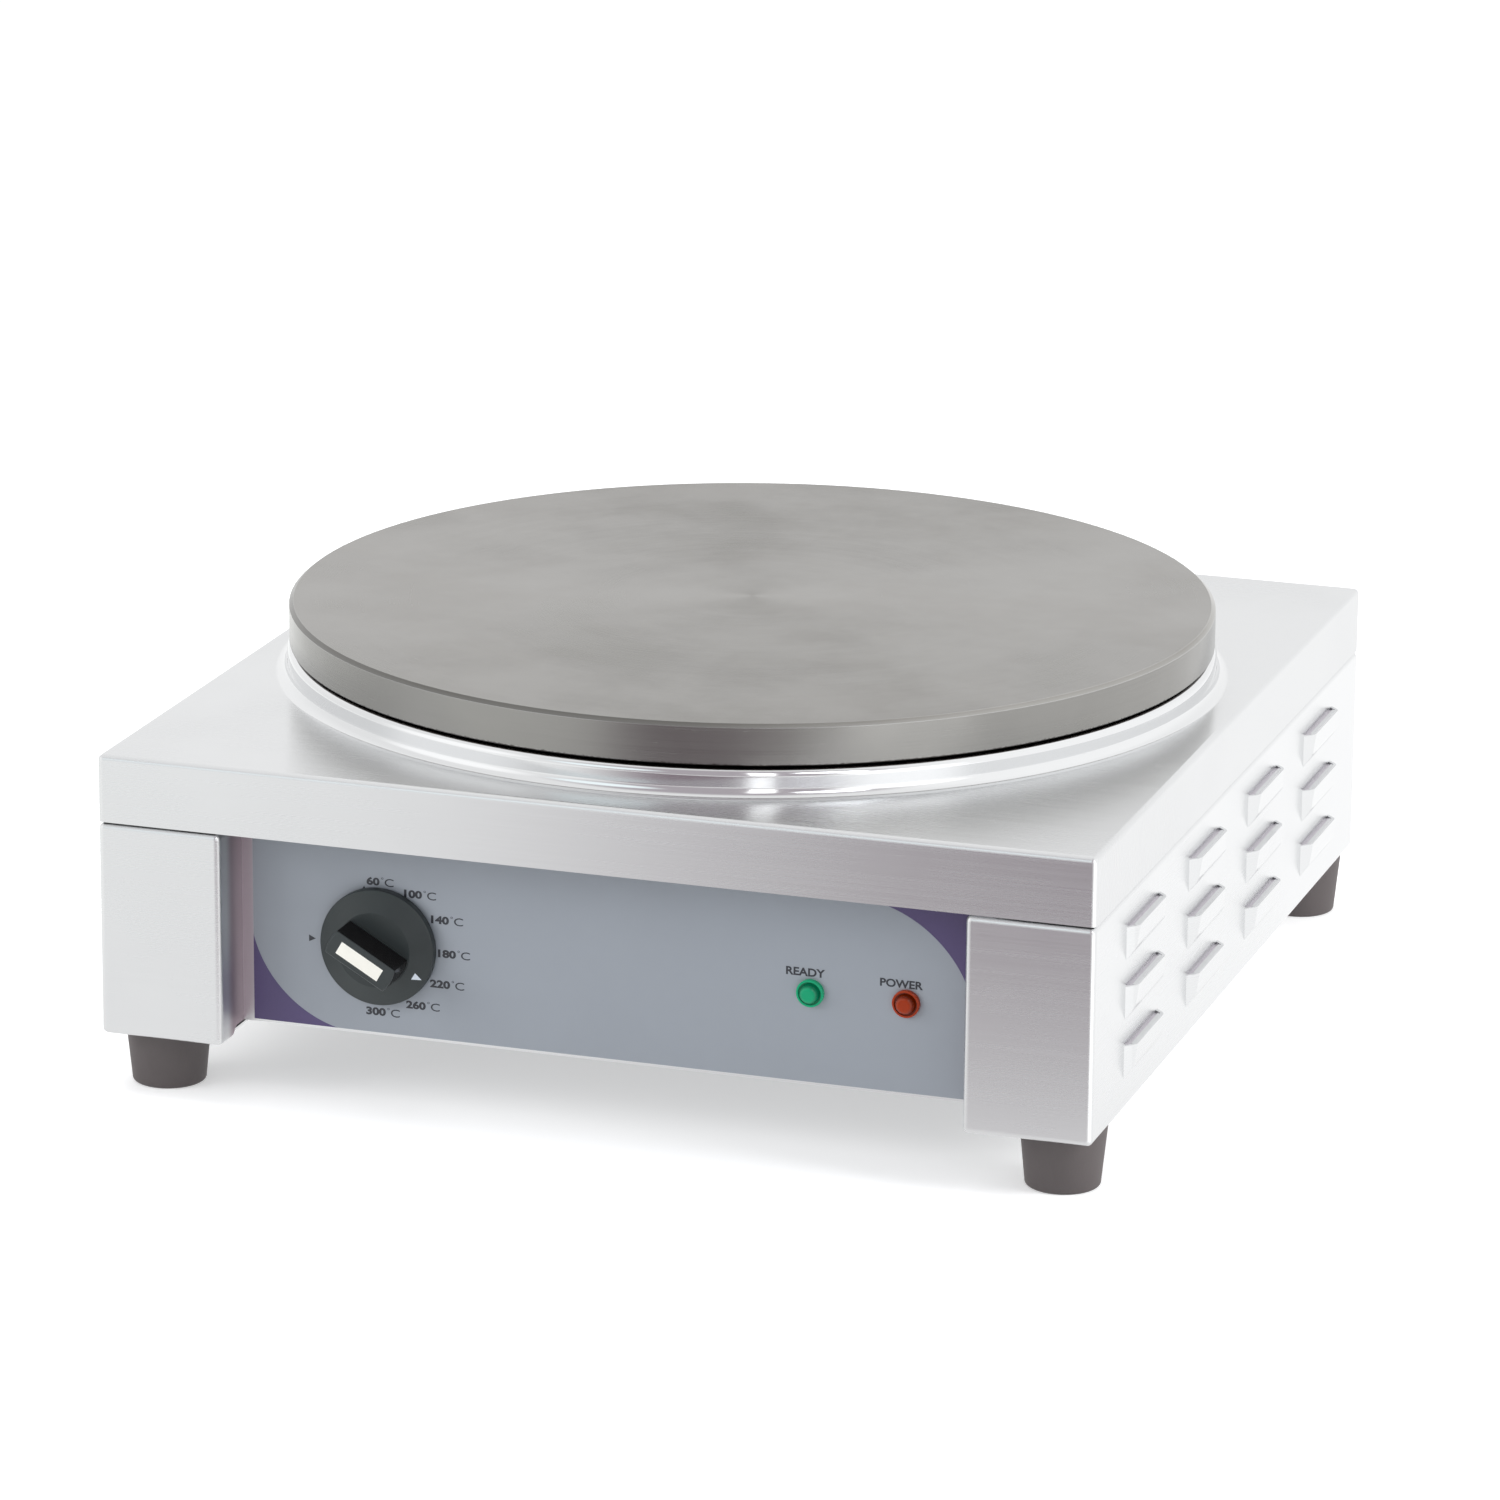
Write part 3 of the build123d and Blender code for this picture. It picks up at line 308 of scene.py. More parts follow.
def facing_x(tree):
    """Mask of the faces that look left or right."""
    normal = add(tree, "ShaderNodeNewGeometry").outputs["Normal"]
    return smooth_step(tree, calc(tree, "ABSOLUTE", split(tree, normal)[0]), 0.6, 0.8)


GRAIN_CONTRAST = 0.03
GRAIN_DEPTH = 0.0002 * MM
ALONG, ACROSS = 8.0, 1700.0
LEVEL_GRAIN_ON_FRONT = (ALONG, ACROSS, ACROSS)
LEVEL_GRAIN_ALL_ROUND = (ALONG, ALONG, ACROSS)
UPRIGHT_GRAIN = (ACROSS, ACROSS, ALONG)
SHEET_ANISOTROPY = 0.8
DECK_ROUGHNESS, COLLAR_ROUGHNESS = 0.24, 0.10
RETURN_ROUGHNESS = 0.5


def brushed_steel(name, stretch, roughness):
    """Brushed sheet, duller and with painted shade on the posts' inner returns. Stretch is low along the grain."""
    material, tree, put, where = surface(name, Metallic=1.0, Anisotropic=SHEET_ANISOTROPY)
    grain = use(tree, BRUSHED, Vector=where, Stretch=stretch, Contrast=GRAIN_CONTRAST)
    haze = use(tree, HAZE, Vector=where, Scale=7.0, Amount=0.04)
    parts = split(tree, where)
    film_edge = -FILM_LOW.x
    off_middle = calc(tree, "ABSOLUTE", parts[0])
    beside = smooth_step(tree, off_middle, 8.0 * MM + film_edge, 6.0 * MM + film_edge)
    inner_return = calc(tree, "MULTIPLY", beside, facing_x(tree))
    # Painted shade and painted reflection of the film: the rear of each post's inner return turns darker mauve
    # grey.
    deep = smooth_step(tree, parts[1], COVER_LOW.y + 6.0 * MM, COVER_LOW.y + 14.0 * MM)
    colour = mix_colour(tree, calc(tree, "MULTIPLY", deep, inner_return), STEEL, RETURN_PAINTED_SHADE)
    tone = calc(tree, "MULTIPLY", grain["Tone"], haze["Tone"])
    tree.links.new(scaled(tree, colour, tone), put["Base Color"])
    rough = calc(tree, "ADD", grain["Roughness Shift"], calc(tree, "ADD", haze["Haze"], roughness))
    tree.links.new(mix_value(tree, inner_return, rough, RETURN_ROUGHNESS), put["Roughness"])
    tree.links.new(bump(tree, grain["Height"], GRAIN_DEPTH), put["Normal"])
    across_grain = add(tree, "ShaderNodeCombineXYZ", {2: 1.0}).outputs[0]
    tree.links.new(across_grain, put["Tangent"])
    return material


def cover_steel():
    """Sheet of the cover: grain along X, upright on its side skirts, burnished on the collar."""
    material, tree, put, where = surface("cover_steel", Metallic=1.0, Anisotropic=SHEET_ANISOTROPY)
    side = facing_x(tree)
    flat = use(tree, BRUSHED, Vector=where, Stretch=LEVEL_GRAIN_ON_FRONT, Contrast=GRAIN_CONTRAST)
    upright = use(tree, BRUSHED, Vector=where, Stretch=UPRIGHT_GRAIN, Contrast=GRAIN_CONTRAST)
    haze = use(tree, HAZE, Vector=where, Scale=6.0, Amount=0.04)
    radius = across_axis(tree, vector_calc(tree, "SUBTRACT", where, PLATE_AXIS))
    collar = smooth_step(tree, radius, COLLAR_R + 5.5 * MM, COLLAR_R + 3.5 * MM)
    sheet = calc(tree, "SUBTRACT", 1.0, collar)

    def by_side(label):
        return mix_value(tree, side, flat[label], upright[label])

    grain_tone = mix_value(tree, collar, by_side("Tone"), 1.0)
    tree.links.new(tint(tree, STEEL, grain_tone, haze["Tone"]), put["Base Color"])
    grain = calc(tree, "ADD", by_side("Roughness Shift"), haze["Haze"])
    rough = mix_value(tree, collar, calc(tree, "ADD", grain, DECK_ROUGHNESS), COLLAR_ROUGHNESS)
    tree.links.new(rough, put["Roughness"])
    relief = calc(tree, "MULTIPLY", by_side("Height"), sheet)
    tree.links.new(bump(tree, relief, GRAIN_DEPTH), put["Normal"])
    across_grain = mix_vector(tree, collar, (0.0, 1.0, 0.35), (0.0, 0.0, 1.0))
    tree.links.new(across_grain, put["Tangent"])
    return material


IRON_ROUGHNESS = 0.20
TOOL_LINE_DEPTH = 0.008 * MM
CHAMFER_PAINTED_SHADE, CHAMFER_PAINTED_HIGHLIGHT = 0.62, 1.3


def cast_iron():
    """Turned plate: tool lines, a stained cooking face, a chamfer with painted shade on the left and painted
    highlight on the right, edges paler from wear and painted highlight, painted shade at the side's foot."""
    material, tree, put, where = surface(
        "cast_iron", Metallic=1.0, Anisotropic=0.8, Anisotropic_Rotation=0.25)
    local = vector_calc(tree, "SUBTRACT", where, PLATE_AXIS)
    lines = use(tree, TURNED, Vector=local, Spacing=0.0007, Contrast=0.07)
    haze = use(tree, HAZE, Vector=where, Scale=11.0, Amount=0.07)
    edge = use(tree, WORN, Radius=0.0006, Gain=5.0)["Edge"]
    clouds = noise(tree, where, 14.0, detail=5.0, roughness=0.6)
    season = smooth_step(tree, clouds, 0.38, 0.72, low=0.35, high=0.70)
    height = split(tree, where)[2]
    top = smooth_step(tree, height, PLATE_HIGH.z - 1.5 * MM, PLATE_HIGH.z - 0.2 * MM)
    base = mix_colour(tree, calc(tree, "MULTIPLY", season, top), IRON, IRON_STAIN)
    # Edges lighten towards bare steel: partly wear, partly a painted highlight along the chamfer.
    worn = mix_colour(tree, calc(tree, "MULTIPLY", edge, 0.6), base, STEEL)
    # Painted shade: a dark ragged band at the foot of the side, for the shadow of the gap under the rim.
    gap_shade_noise = noise(tree, where, 900.0, detail=3.0)
    ragged = calc(tree, "ADD", height, centred(tree, gap_shade_noise, 0.8 * MM))
    scale = smooth_step(tree, ragged, PLATE_UNDER + 0.9 * MM, PLATE_UNDER + 0.2 * MM)
    rim = mix_colour(tree, scale, worn, IRON_GAP_SHADE)
    up = split(tree, add(tree, "ShaderNodeNewGeometry").outputs["Normal"])[2]
    chamfer = calc(tree, "MULTIPLY", smooth_step(tree, up, 0.3, 0.5), smooth_step(tree, up, 0.96, 0.85))
    tone = calc(tree, "MULTIPLY", lines["Tone"], haze["Tone"])
    to_right = split(tree, local)[0]
    # Painted light: the chamfer is darkened on the left as painted shade and brightened on the right as a painted
    # highlight.
    chamfer_painted_light = smooth_step(tree, to_right, 20.0 * MM, 140.0 * MM, CHAMFER_PAINTED_SHADE, CHAMFER_PAINTED_HIGHLIGHT)
    tone = calc(tree, "MULTIPLY", tone, mix_value(tree, chamfer, 1.0, chamfer_painted_light))
    tree.links.new(scaled(tree, rim, tone), put["Base Color"])
    rough = calc(tree, "ADD", lines["Roughness Shift"], calc(tree, "ADD", haze["Haze"], IRON_ROUGHNESS))
    tree.links.new(rough, put["Roughness"])
    tree.links.new(bump(tree, lines["Height"], TOOL_LINE_DEPTH), put["Normal"])
    round_axis = add(tree, "ShaderNodeTangent", direction_type="RADIAL", axis="Z").outputs[0]
    tree.links.new(round_axis, put["Tangent"])
    return material


def finish_moulding(tree, put, where, colour, roughness, scale, depth, edge_lift, pale):
    """Skin texture, faint clouding and slightly paler edges of a moulding."""
    skin = use(tree, SKIN, Vector=where, Scale=scale)
    edge = use(tree, WORN, Radius=0.0006, Gain=5.0)["Edge"]
    haze = use(tree, HAZE, Vector=where, Scale=40.0, Amount=0.12)
    base = mix_colour(tree, calc(tree, "MULTIPLY", edge, edge_lift), colour, pale)
    tree.links.new(scaled(tree, base, haze["Tone"]), put["Base Color"])
    tree.links.new(calc(tree, "ADD", skin["Roughness Shift"], roughness), put["Roughness"])
    tree.links.new(bump(tree, skin["Height"], depth), put["Normal"])


def paler(colour):
    return tuple(min(1.0, c * 1.8 + 0.02) for c in colour[:3]) + (1.0,)


def moulded(name, colour, roughness, scale=1800.0, depth=0.02 * MM, edge_lift=0.25, **constants):
    """Moulded plastic or rubber, and fibre or ceramic with the same kind of skin."""
    material, tree, put, where = surface(name, **constants)
    finish_moulding(tree, put, where, colour, roughness, scale, depth, edge_lift, paler(colour))
    return material


FLANGE_ROUGHNESS, GRIP_ROUGHNESS = 0.40, 0.24
FILM_ROUGHNESS = 0.34
LENS_ROUGHNESS = 0.10


def knob_plastic():
    """Black moulding: satin flange and grip face, glossier sides of the grip with painted shade."""
    material, tree, put, where = surface("knob_plastic", Specular_IOR_Level=0.4)
    proud = split(tree, where)[1]
    hub = KNOB_BACK - KNOB_RIM - KNOB_CONE
    grip_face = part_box("control_knob")[0].y
    grip = smooth_step(tree, proud, hub - 0.3 * MM, hub - 0.9 * MM)
    grip = calc(tree, "MULTIPLY", grip, smooth_step(tree, proud, grip_face + 0.5 * MM, grip_face + 0.9 * MM))
    # Painted shade: the grip's sides are coloured darker than the flange and face of the same moulding.
    colour = mix_colour(tree, grip, KNOB_BLACK, GRIP_PAINTED_SHADE)
    roughness = mix_value(tree, grip, FLANGE_ROUGHNESS, GRIP_ROUGHNESS)
    finish_moulding(tree, put, where, colour, roughness, scale=1500.0, depth=0.01 * MM, edge_lift=0.12,
                    pale=paler(KNOB_BLACK))
    return material


def plain_metal(name, colour, roughness):
    """Plated or bare metal of small parts, with worn edges and faint clouding."""
    material, tree, put, where = surface(name, Metallic=1.0)
    edge = use(tree, WORN, Radius=0.0004, Gain=5.0)["Edge"]
    haze = use(tree, HAZE, Vector=where, Scale=60.0, Amount=0.18)
    base = mix_colour(tree, calc(tree, "MULTIPLY", edge, 0.5), colour, WHITE)
    tree.links.new(scaled(tree, base, haze["Tone"]), put["Base Color"])
    tree.links.new(calc(tree, "ADD", haze["Haze"], roughness), put["Roughness"])
    return material


def film():
    """Satin printed film, blue-grey."""
    material, tree, put, where = surface("film", Specular_IOR_Level=0.45)
    haze = use(tree, HAZE, Vector=where, Scale=16.0, Amount=0.05)
    tree.links.new(tint(tree, FILM_GREY, haze["Tone"]), put["Base Color"])
    tree.links.new(calc(tree, "ADD", haze["Haze"], FILM_ROUGHNESS), put["Roughness"])
    grains = noise(tree, where, 2600.0, detail=1.0)
    tree.links.new(bump(tree, grains, distance=0.004 * MM), put["Normal"])
    return material


def ink(name, colour, roughness=0.4):
    """Print on the film or on the knob."""
    material, tree, put, where = surface(name)
    specks = noise(tree, where, 900.0, detail=2.0)
    tone = calc(tree, "ADD", 1.0, centred(tree, specks, 0.06))
    tree.links.new(tint(tree, colour, tone), put["Base Color"])
    tree.links.new(calc(tree, "ADD", centred(tree, specks, 0.05), roughness), put["Roughness"])
    return material


def lens(name, lamp, colour, glow):
    """Coloured glassy cap with painted shade in its groove, faintly lit in its dome."""
    material, tree, put, where = surface(name, Specular_IOR_Level=0.35, Emission_Strength=glow)
    centre = middle(lamp)
    parts = split(tree, vector_calc(tree, "SUBTRACT", where, tuple(centre)))
    level = add(tree, "ShaderNodeCombineXYZ", {0: parts[0], 1: parts[2]}).outputs[0]
    radius = vector_calc(tree, "LENGTH", level, output="Value")
    # Painted shade: the tone, in colour and glow alike, dips in the groove between the dome and the outer ring.
    dome = smooth_step(tree, radius, 4.0 * MM, 2.6 * MM, low=0.5)
    ring = smooth_step(tree, radius, 4.7 * MM, 5.1 * MM, high=0.6)
    clouds = noise(tree, where, 420.0, detail=2.0)
    tone = calc(tree, "ADD", calc(tree, "ADD", dome, ring), centred(tree, clouds, 0.06))
    tree.links.new(tint(tree, colour, tone), put["Base Color"])
    tree.links.new(tint(tree, colour, tone), put["Emission Color"])
    tree.links.new(calc(tree, "ADD", centred(tree, clouds, 0.04), LENS_ROUGHNESS), put["Roughness"])
    return material


COVER_STEEL = cover_steel()
SIDE_STEEL = brushed_steel("side_steel", LEVEL_GRAIN_ALL_ROUND, 0.24)
PANEL_STEEL = brushed_steel("panel_steel", LEVEL_GRAIN_ON_FRONT, 0.28)
ZINC = plain_metal("zinc", INNER_STEEL, 0.42)
FIXING = plain_metal("fixing", srgb(205, 206, 208), 0.28)
SHEATH = plain_metal("sheath", srgb(98, 92, 88), 0.5)
BRASS_METAL = plain_metal("brass", BRASS, 0.3)
PLATE_IRON = cast_iron()
FILM = film()
PRINT = ink("print", INK)
VIOLET_PRINT = ink("violet_print", VIOLET)
KNOB_MARK_PRINT = ink("knob_mark", KNOB_WHITE)
KNOB_PLASTIC = knob_plastic()
CREAM_PLASTIC = moulded("cream_plastic", KNOB_CREAM, 0.35, scale=900.0, depth=0.005 * MM)
BLACK_PLASTIC = moulded("black_plastic", BLACK, 0.45)
FOOT_RUBBER = moulded("foot_rubber", RUBBER, 0.62, scale=900.0, depth=0.05 * MM, edge_lift=0.15)
SEAL_FIBRE = moulded("seal_fibre", SEAL, 0.9, scale=700.0, depth=0.2 * MM)
WHITE_FIBRE = moulded("white_fibre", CERAMIC, 0.95, scale=500.0, depth=0.3 * MM)
STEATITE = moulded("steatite", CERAMIC, 0.6)
GREEN_LENS = lens("green_lens", "ready_lamp_lens", LENS_GREEN, 0.30)
AMBER_LENS = lens("amber_lens", "power_lamp_lens", LENS_AMBER, 0.12)

FINISH_OF_SLOT = {
    "cover_steel": COVER_STEEL, "side_steel": SIDE_STEEL, "panel_steel": PANEL_STEEL, "inner_steel": ZINC,
    "overlay_film": FILM, "cast_plate": PLATE_IRON, "gasket_fibre": SEAL_FIBRE,
    "insulation_fibre": WHITE_FIBRE, "heater_sheath": SHEATH, "ceramic": STEATITE, "fastener_steel": FIXING,
    "brass_metal": BRASS_METAL, "knob_black": KNOB_PLASTIC, "knob_mark": CREAM_PLASTIC,
    "green_lens": GREEN_LENS, "amber_lens": AMBER_LENS, "black_plastic": BLACK_PLASTIC,
    "foot_rubber": FOOT_RUBBER,
}


def dress_nodes():
    """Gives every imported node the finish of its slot."""
    for entry in frame["record"]["subparts"]:
        data = frame["nodes"][entry["node"]].data
        data.materials.clear()
        data.materials.append(FINISH_OF_SLOT[entry["material_slot"]])


# ---- making pieces --------------------------------------------------------------------------
def piece(name, mesh, material, body):
    """A finished mesh as a piece of the object."""
    mesh.materials.clear()
    mesh.materials.append(material)
    item = bpy.data.objects.new(name, mesh)
    bpy.context.scene.collection.objects.link(item)
    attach(item, body)
    return item


def mesh_from(builder, name):
    mesh = bpy.data.meshes.new(name)
    builder.to_mesh(mesh)
    builder.free()
    return mesh


def closed_slab(front, back):
    """Closed thin shape between two outlines of the same number of places."""
    shape = bmesh.new()
    front = [shape.verts.new(place) for place in front]
    back = [shape.verts.new(place) for place in back]
    count = len(front)
    shape.faces.new(front)
    shape.faces.new(list(reversed(back)))
    for i in range(count):
        j = (i + 1) % count
        shape.faces.new((front[j], front[i], back[i], back[j]))
    bmesh.ops.recalc_face_normals(shape, faces=shape.faces)
    return shape


def slab(outline, depth):
    """Closed flat shape: outline is (x, z) in metres on the film's face, depth stands out of it."""
    return closed_slab([(x, FILM_Y - depth, z) for x, z in outline], [(x, FILM_Y, z) for x, z in outline])


# ---- the drawn cover ------------------------------------------------------------------------
FOLD_R = 2.5 * MM
COVE_R = 4.8 * MM
SHOULDER_R = 3.5 * MM
OPENING_R = 176 * MM
TURN_STEPS = 288
BEND_STEPS = 8
WELD = 0.001 * MM
SAME_LEVEL = 0.01 * MM


def collar_section(inset):
    """Radius, height and outward direction down the collar, from its opening to the deck."""
    top = COVER_HIGH.z
    section = [(OPENING_R, top - inset, (0.0, 1.0))]
    for step in range(BEND_STEPS + 1):
        angle = pi / 2 * (1 - step / BEND_STEPS)
        way = (cos(angle), sin(angle))
        reach = SHOULDER_R - inset
        section.append((COLLAR_R - SHOULDER_R + reach * way[0], top - SHOULDER_R + reach * way[1], way))
    for step in range(BEND_STEPS + 1):
        angle = pi + pi / 2 * step / BEND_STEPS
        way = (-cos(angle), -sin(angle))
        reach = COVE_R + inset
        section.append((COLLAR_R + COVE_R - reach * way[0], DECK_Z + COVE_R - reach * way[1], way))
    return section


def deck_outline():
    """Corner centres of the cover's rounded outline, each with the directions of its quarter turn."""
    low, high = COVER_LOW, COVER_HIGH
    for x, y, start in ((high.x - FOLD_R, high.y - FOLD_R, 0), (low.x + FOLD_R, high.y - FOLD_R, 90),
                        (low.x + FOLD_R, low.y + FOLD_R, 180), (high.x - FOLD_R, low.y + FOLD_R, 270)):
        for step in range(BEND_STEPS + 1):
            angle = radians(start + 90 * step / BEND_STEPS)
            yield x, y, cos(angle), sin(angle)


def drawn_cover():
    """The cover as one closed sheet, turned in fine steps so that its curves shine evenly."""
    shape = bmesh.new()
    way_out = shape.verts.layers.float_vector.new("way_out")
    is_rim = shape.faces.layers.int.new("is_rim")

    def place_ring(places):
        ring = []
        for place, way in places:
            vert = shape.verts.new(place)
            vert[way_out] = way
            ring.append(vert)
        return ring

    def join_rings(rings, rim=0):
        for first, second in zip(rings, rings[1:]):
            for i in range(len(first)):
                j = (i + 1) % len(first)
                shape.faces.new((first[i], first[j], second[j], second[i]))[is_rim] = rim

    mouths, hems = [], []
    turns = [2 * pi * i / TURN_STEPS for i in range(TURN_STEPS)]
    for inset, face in ((0.0, 1), (SHEET, -1)):
        collar = [
            place_ring([((PLATE_MID.x + r * cos(a), PLATE_MID.y + r * sin(a), z),
                         (face * way[0] * cos(a), face * way[0] * sin(a), face * way[1])) for a in turns])
            for r, z, way in collar_section(inset)]
        reach = FOLD_R - inset
        fold = []
        for step in range(BEND_STEPS + 1):
            tilt = pi / 2 * step / BEND_STEPS
            out, up = sin(tilt), cos(tilt)
            fold.append(place_ring([
                ((x + reach * out * dx, y + reach * out * dy, DECK_Z - FOLD_R + reach * up),
                 (face * out * dx, face * out * dy, face * up)) for x, y, dx, dy in deck_outline()]))
        hem = place_ring([((x + reach * dx, y + reach * dy, COVER_LOW.z), (face * dx, face * dy, 0.0))
                          for x, y, dx, dy in deck_outline()])
        join_rings(collar)
        join_rings(fold + [hem])
        mouths.append(collar[0])
        hems.append(hem)
    join_rings(mouths, rim=1)
    join_rings(hems, rim=1)
    bmesh.ops.remove_doubles(shape, verts=shape.verts, dist=WELD)
    for inset in (0.0, SHEET):
        level = DECK_Z - inset
        loops = [e for e in shape.edges
                 if e.is_boundary and all(abs(v.co.z - level) < SAME_LEVEL for v in e.verts)]
        bmesh.ops.triangle_fill(shape, use_beauty=True, edges=loops, normal=(0, 0, 1))
    shape.normal_update()
    normals = []
    for item in shape.faces:
        item.smooth = True
        if item[is_rim]:
            mid = item.calc_center_median()
            low = mid.z < DECK_Z - FOLD_R
            wanted = Vector((0, 0, -1)) if low else Vector(PLATE_AXIS) - Vector((mid.x, mid.y, 0))
        else:
            wanted = sum((v[way_out] for v in item.verts), Vector())
        if item.normal.dot(wanted) < 0:
            item.normal_flip()
    for item in shape.faces:
        normals += [item.normal.copy() if item[is_rim] else loop.vert[way_out].copy() for loop in item.loops]
    mesh = mesh_from(shape, "drawn_cover")
    mesh.normals_split_custom_set(normals)
    item = piece("drawn_cover", mesh, COVER_STEEL, HOUSING)
    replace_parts(item, "top_cover")


# ---- shapes that Geometry Nodes put on points -----------------------------------------------
def growing_tree(name, sizes, **others):
    """Tree with an input for each size, for each other value by its kind of socket, and for the finish."""
    tree = bpy.data.node_groups.new(name, "GeometryNodeTree")
    face = tree.interface
    face.new_socket(name="Geometry", in_out="INPUT", socket_type="NodeSocketGeometry")
    for label, size in sizes.items():
        face.new_socket(name=label, in_out="INPUT", socket_type="NodeSocketFloat").default_value = size
    for label, kind in others.items():
        face.new_socket(name=label, in_out="INPUT", socket_type=kind)
    face.new_socket(name="Finish", in_out="INPUT", socket_type="NodeSocketMaterial")
    face.new_socket(name="Geometry", in_out="OUTPUT", socket_type="NodeSocketGeometry")
    given = tree.nodes.new("NodeGroupInput").outputs
    return tree, given, tree.nodes.new("NodeGroupOutput").inputs


def block(tree, size, shift):
    """A cuboid moved from the origin; its size and its shift are given by axis number."""
    sides = add(tree, "ShaderNodeCombineXYZ", size).outputs[0]
    cuboid = add(tree, "GeometryNodeMeshCube", {"Size": sides}).outputs[0]
    way = add(tree, "ShaderNodeCombineXYZ", shift).outputs[0]
    return add(tree, "GeometryNodeTransform", {"Geometry": cuboid, "Translation": way}).outputs[0]


def set_on_points(tree, given, put, shape, turn):
    """Ends a tree: the shape on every point, turned, made real and given its finish."""
    inputs = {"Points": given["Geometry"], "Instance": shape, "Rotation": turn}
    placed = add(tree, "GeometryNodeInstanceOnPoints", inputs).outputs[0]
    real = add(tree, "GeometryNodeRealizeInstances", {0: placed}).outputs[0]
    inputs = {"Geometry": real, "Material": given["Finish"]}
    dressed = add(tree, "GeometryNodeSetMaterial", inputs).outputs[0]
    tree.links.new(dressed, put[0])


def grown(name, tree, places, inputs):
    """Plain mesh of what a node tree puts on those places; inputs are given by their names."""
    seats = bmesh.new()
    for place in places:
        seats.verts.new(place)
    item = bpy.data.objects.new(name, mesh_from(seats, name))
    bpy.context.scene.collection.objects.link(item)
    modifier = item.modifiers.new("grown", "NODES")
    modifier.node_group = tree
    sockets = [socket for socket in tree.interface.items_tree if socket.in_out == "INPUT"]
    key = {socket.name: socket.identifier for socket in sockets}
    for label, value in inputs.items():
        modifier[key[label]] = value
    bpy.context.view_layer.update()
    ready = item.evaluated_get(bpy.context.evaluated_depsgraph_get())
    mesh = bpy.data.meshes.new_from_object(ready)
    item.modifiers.remove(modifier)
    bpy.data.objects.remove(item)
    return mesh


# ---- screw heads ----------------------------------------------------------------------------
SCREW_SIZES = {"Head Radius": 3.6 * MM, "Head Height": 2.1 * MM, "Recess Length": 4.2 * MM,
               "Recess Width": 0.9 * MM, "Recess Depth": 1.3 * MM}
TURN_SEED = 7
REAR_SCREW_INSET, REAR_SCREW_HEIGHTS = 24 * MM, (20 * MM, 72 * MM)
COVER_SCREW_X, COVER_SCREW_DROP = (-150 * MM, 0, 150 * MM), 14 * MM
BASE_SCREW_INSET, BASE_SCREW_Y = 30 * MM, (-110 * MM, 0, 110 * MM)


def screw_tree():
    """A domed head with a cross recess on every point, each turned differently."""
    tree, given, put = growing_tree(
        "pan_screws", SCREW_SIZES, Outward="NodeSocketVector", Seed="NodeSocketInt")
    inputs = {"Segments": 32, "Rings": 16, "Radius": given["Head Radius"]}
    ball = add(tree, "GeometryNodeMeshUVSphere", inputs)
    parts = split(tree, tree.nodes.new("GeometryNodeInputPosition").outputs[0])
    flattened = calc(tree, "DIVIDE", given["Head Height"], given["Head Radius"])
    raised = calc(tree, "MULTIPLY", calc(tree, "MAXIMUM", parts[2], 0.0), flattened)
    dome = add(tree, "ShaderNodeCombineXYZ", {0: parts[0], 1: parts[1], 2: raised}).outputs[0]
    head = add(tree, "GeometryNodeSetPosition", {"Geometry": ball.outputs[0], "Position": dome}).outputs[0]

    tall = calc(tree, "MULTIPLY", given["Recess Depth"], 2.0)
    cut = add(tree, "GeometryNodeMeshBoolean", {0: head}, operation="DIFFERENCE")
    for first, second in (("Recess Length", "Recess Width"), ("Recess Width", "Recess Length")):
        bar = block(tree, {0: given[first], 1: given[second], 2: tall}, {2: given["Head Height"]})
        tree.links.new(bar, cut.inputs[1])

    spin = add(tree, "FunctionNodeRandomValue", {2: 0.0, 3: pi, "Seed": given["Seed"]}, data_type="FLOAT")
    turn = add(tree, "ShaderNodeCombineXYZ", {2: spin.outputs[1]}).outputs[0]
    way = {"Vector": given["Outward"]}
    outward = add(tree, "FunctionNodeAlignRotationToVector", way, axis="Z").outputs[0]
    aimed = add(tree, "FunctionNodeRotateRotation", {0: outward, 1: turn}, rotation_space="LOCAL").outputs[0]
    set_on_points(tree, given, put, cut.outputs[0], aimed)
    return tree


def screws(name, tree, places, outward, *nodes):
    """Screw heads on those places, in place of the plain ones of the nodes."""
    inputs = {**SCREW_SIZES, "Outward": outward, "Seed": TURN_SEED, "Finish": FIXING}
    mesh = grown(name, tree, places, inputs)
    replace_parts(piece(name, mesh, FIXING, HOUSING), *nodes)


def all_screws():
    tree = screw_tree()
    rear, base = COVER_HIGH.y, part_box("base_plate")[0].z
    on_rear = [(side * (HALF_W - REAR_SCREW_INSET), rear, base + z)
               for side in (-1, 1) for z in REAR_SCREW_HEIGHTS]
    on_cover = [(x, rear, DECK_Z - COVER_SCREW_DROP) for x in COVER_SCREW_X]
    screws("rear_screw_heads", tree, on_rear + on_cover, (0.0, 1.0, 0.0), "rear_panel_screws", "cover_screws")
    below = [(side * (HALF_W - BASE_SCREW_INSET), MID_Y + y, base)
             for side in (-1, 1) for y in BASE_SCREW_Y]
    screws("base_screw_heads", tree, below, (0.0, 0.0, -1.0), "base_screws")


# ---- lips in the mouths of the louvres ------------------------------------------------------
LIP_SIZES = {"Inner Length": 46.0 * MM, "Inner Width": 1.5 * MM, "Outer Length": 40.8 * MM,
             "Outer Width": 2.0 * MM, "Step": 0.8 * MM, "Thickness": 0.9 * MM}
LIP_BELOW_MOUTH = 0.1 * MM
LIP_GRAIN = (900.0, 8.0, 900.0)
LIP_ROUGHNESS = 0.4
LOUVRE_TOP, LOUVRE_PITCH_Y, LOUVRE_PITCH_Z = 104.3 * MM, 97.0 * MM, 25.2 * MM
LOUVRE_COLUMNS, LOUVRE_ROWS = 4, 3


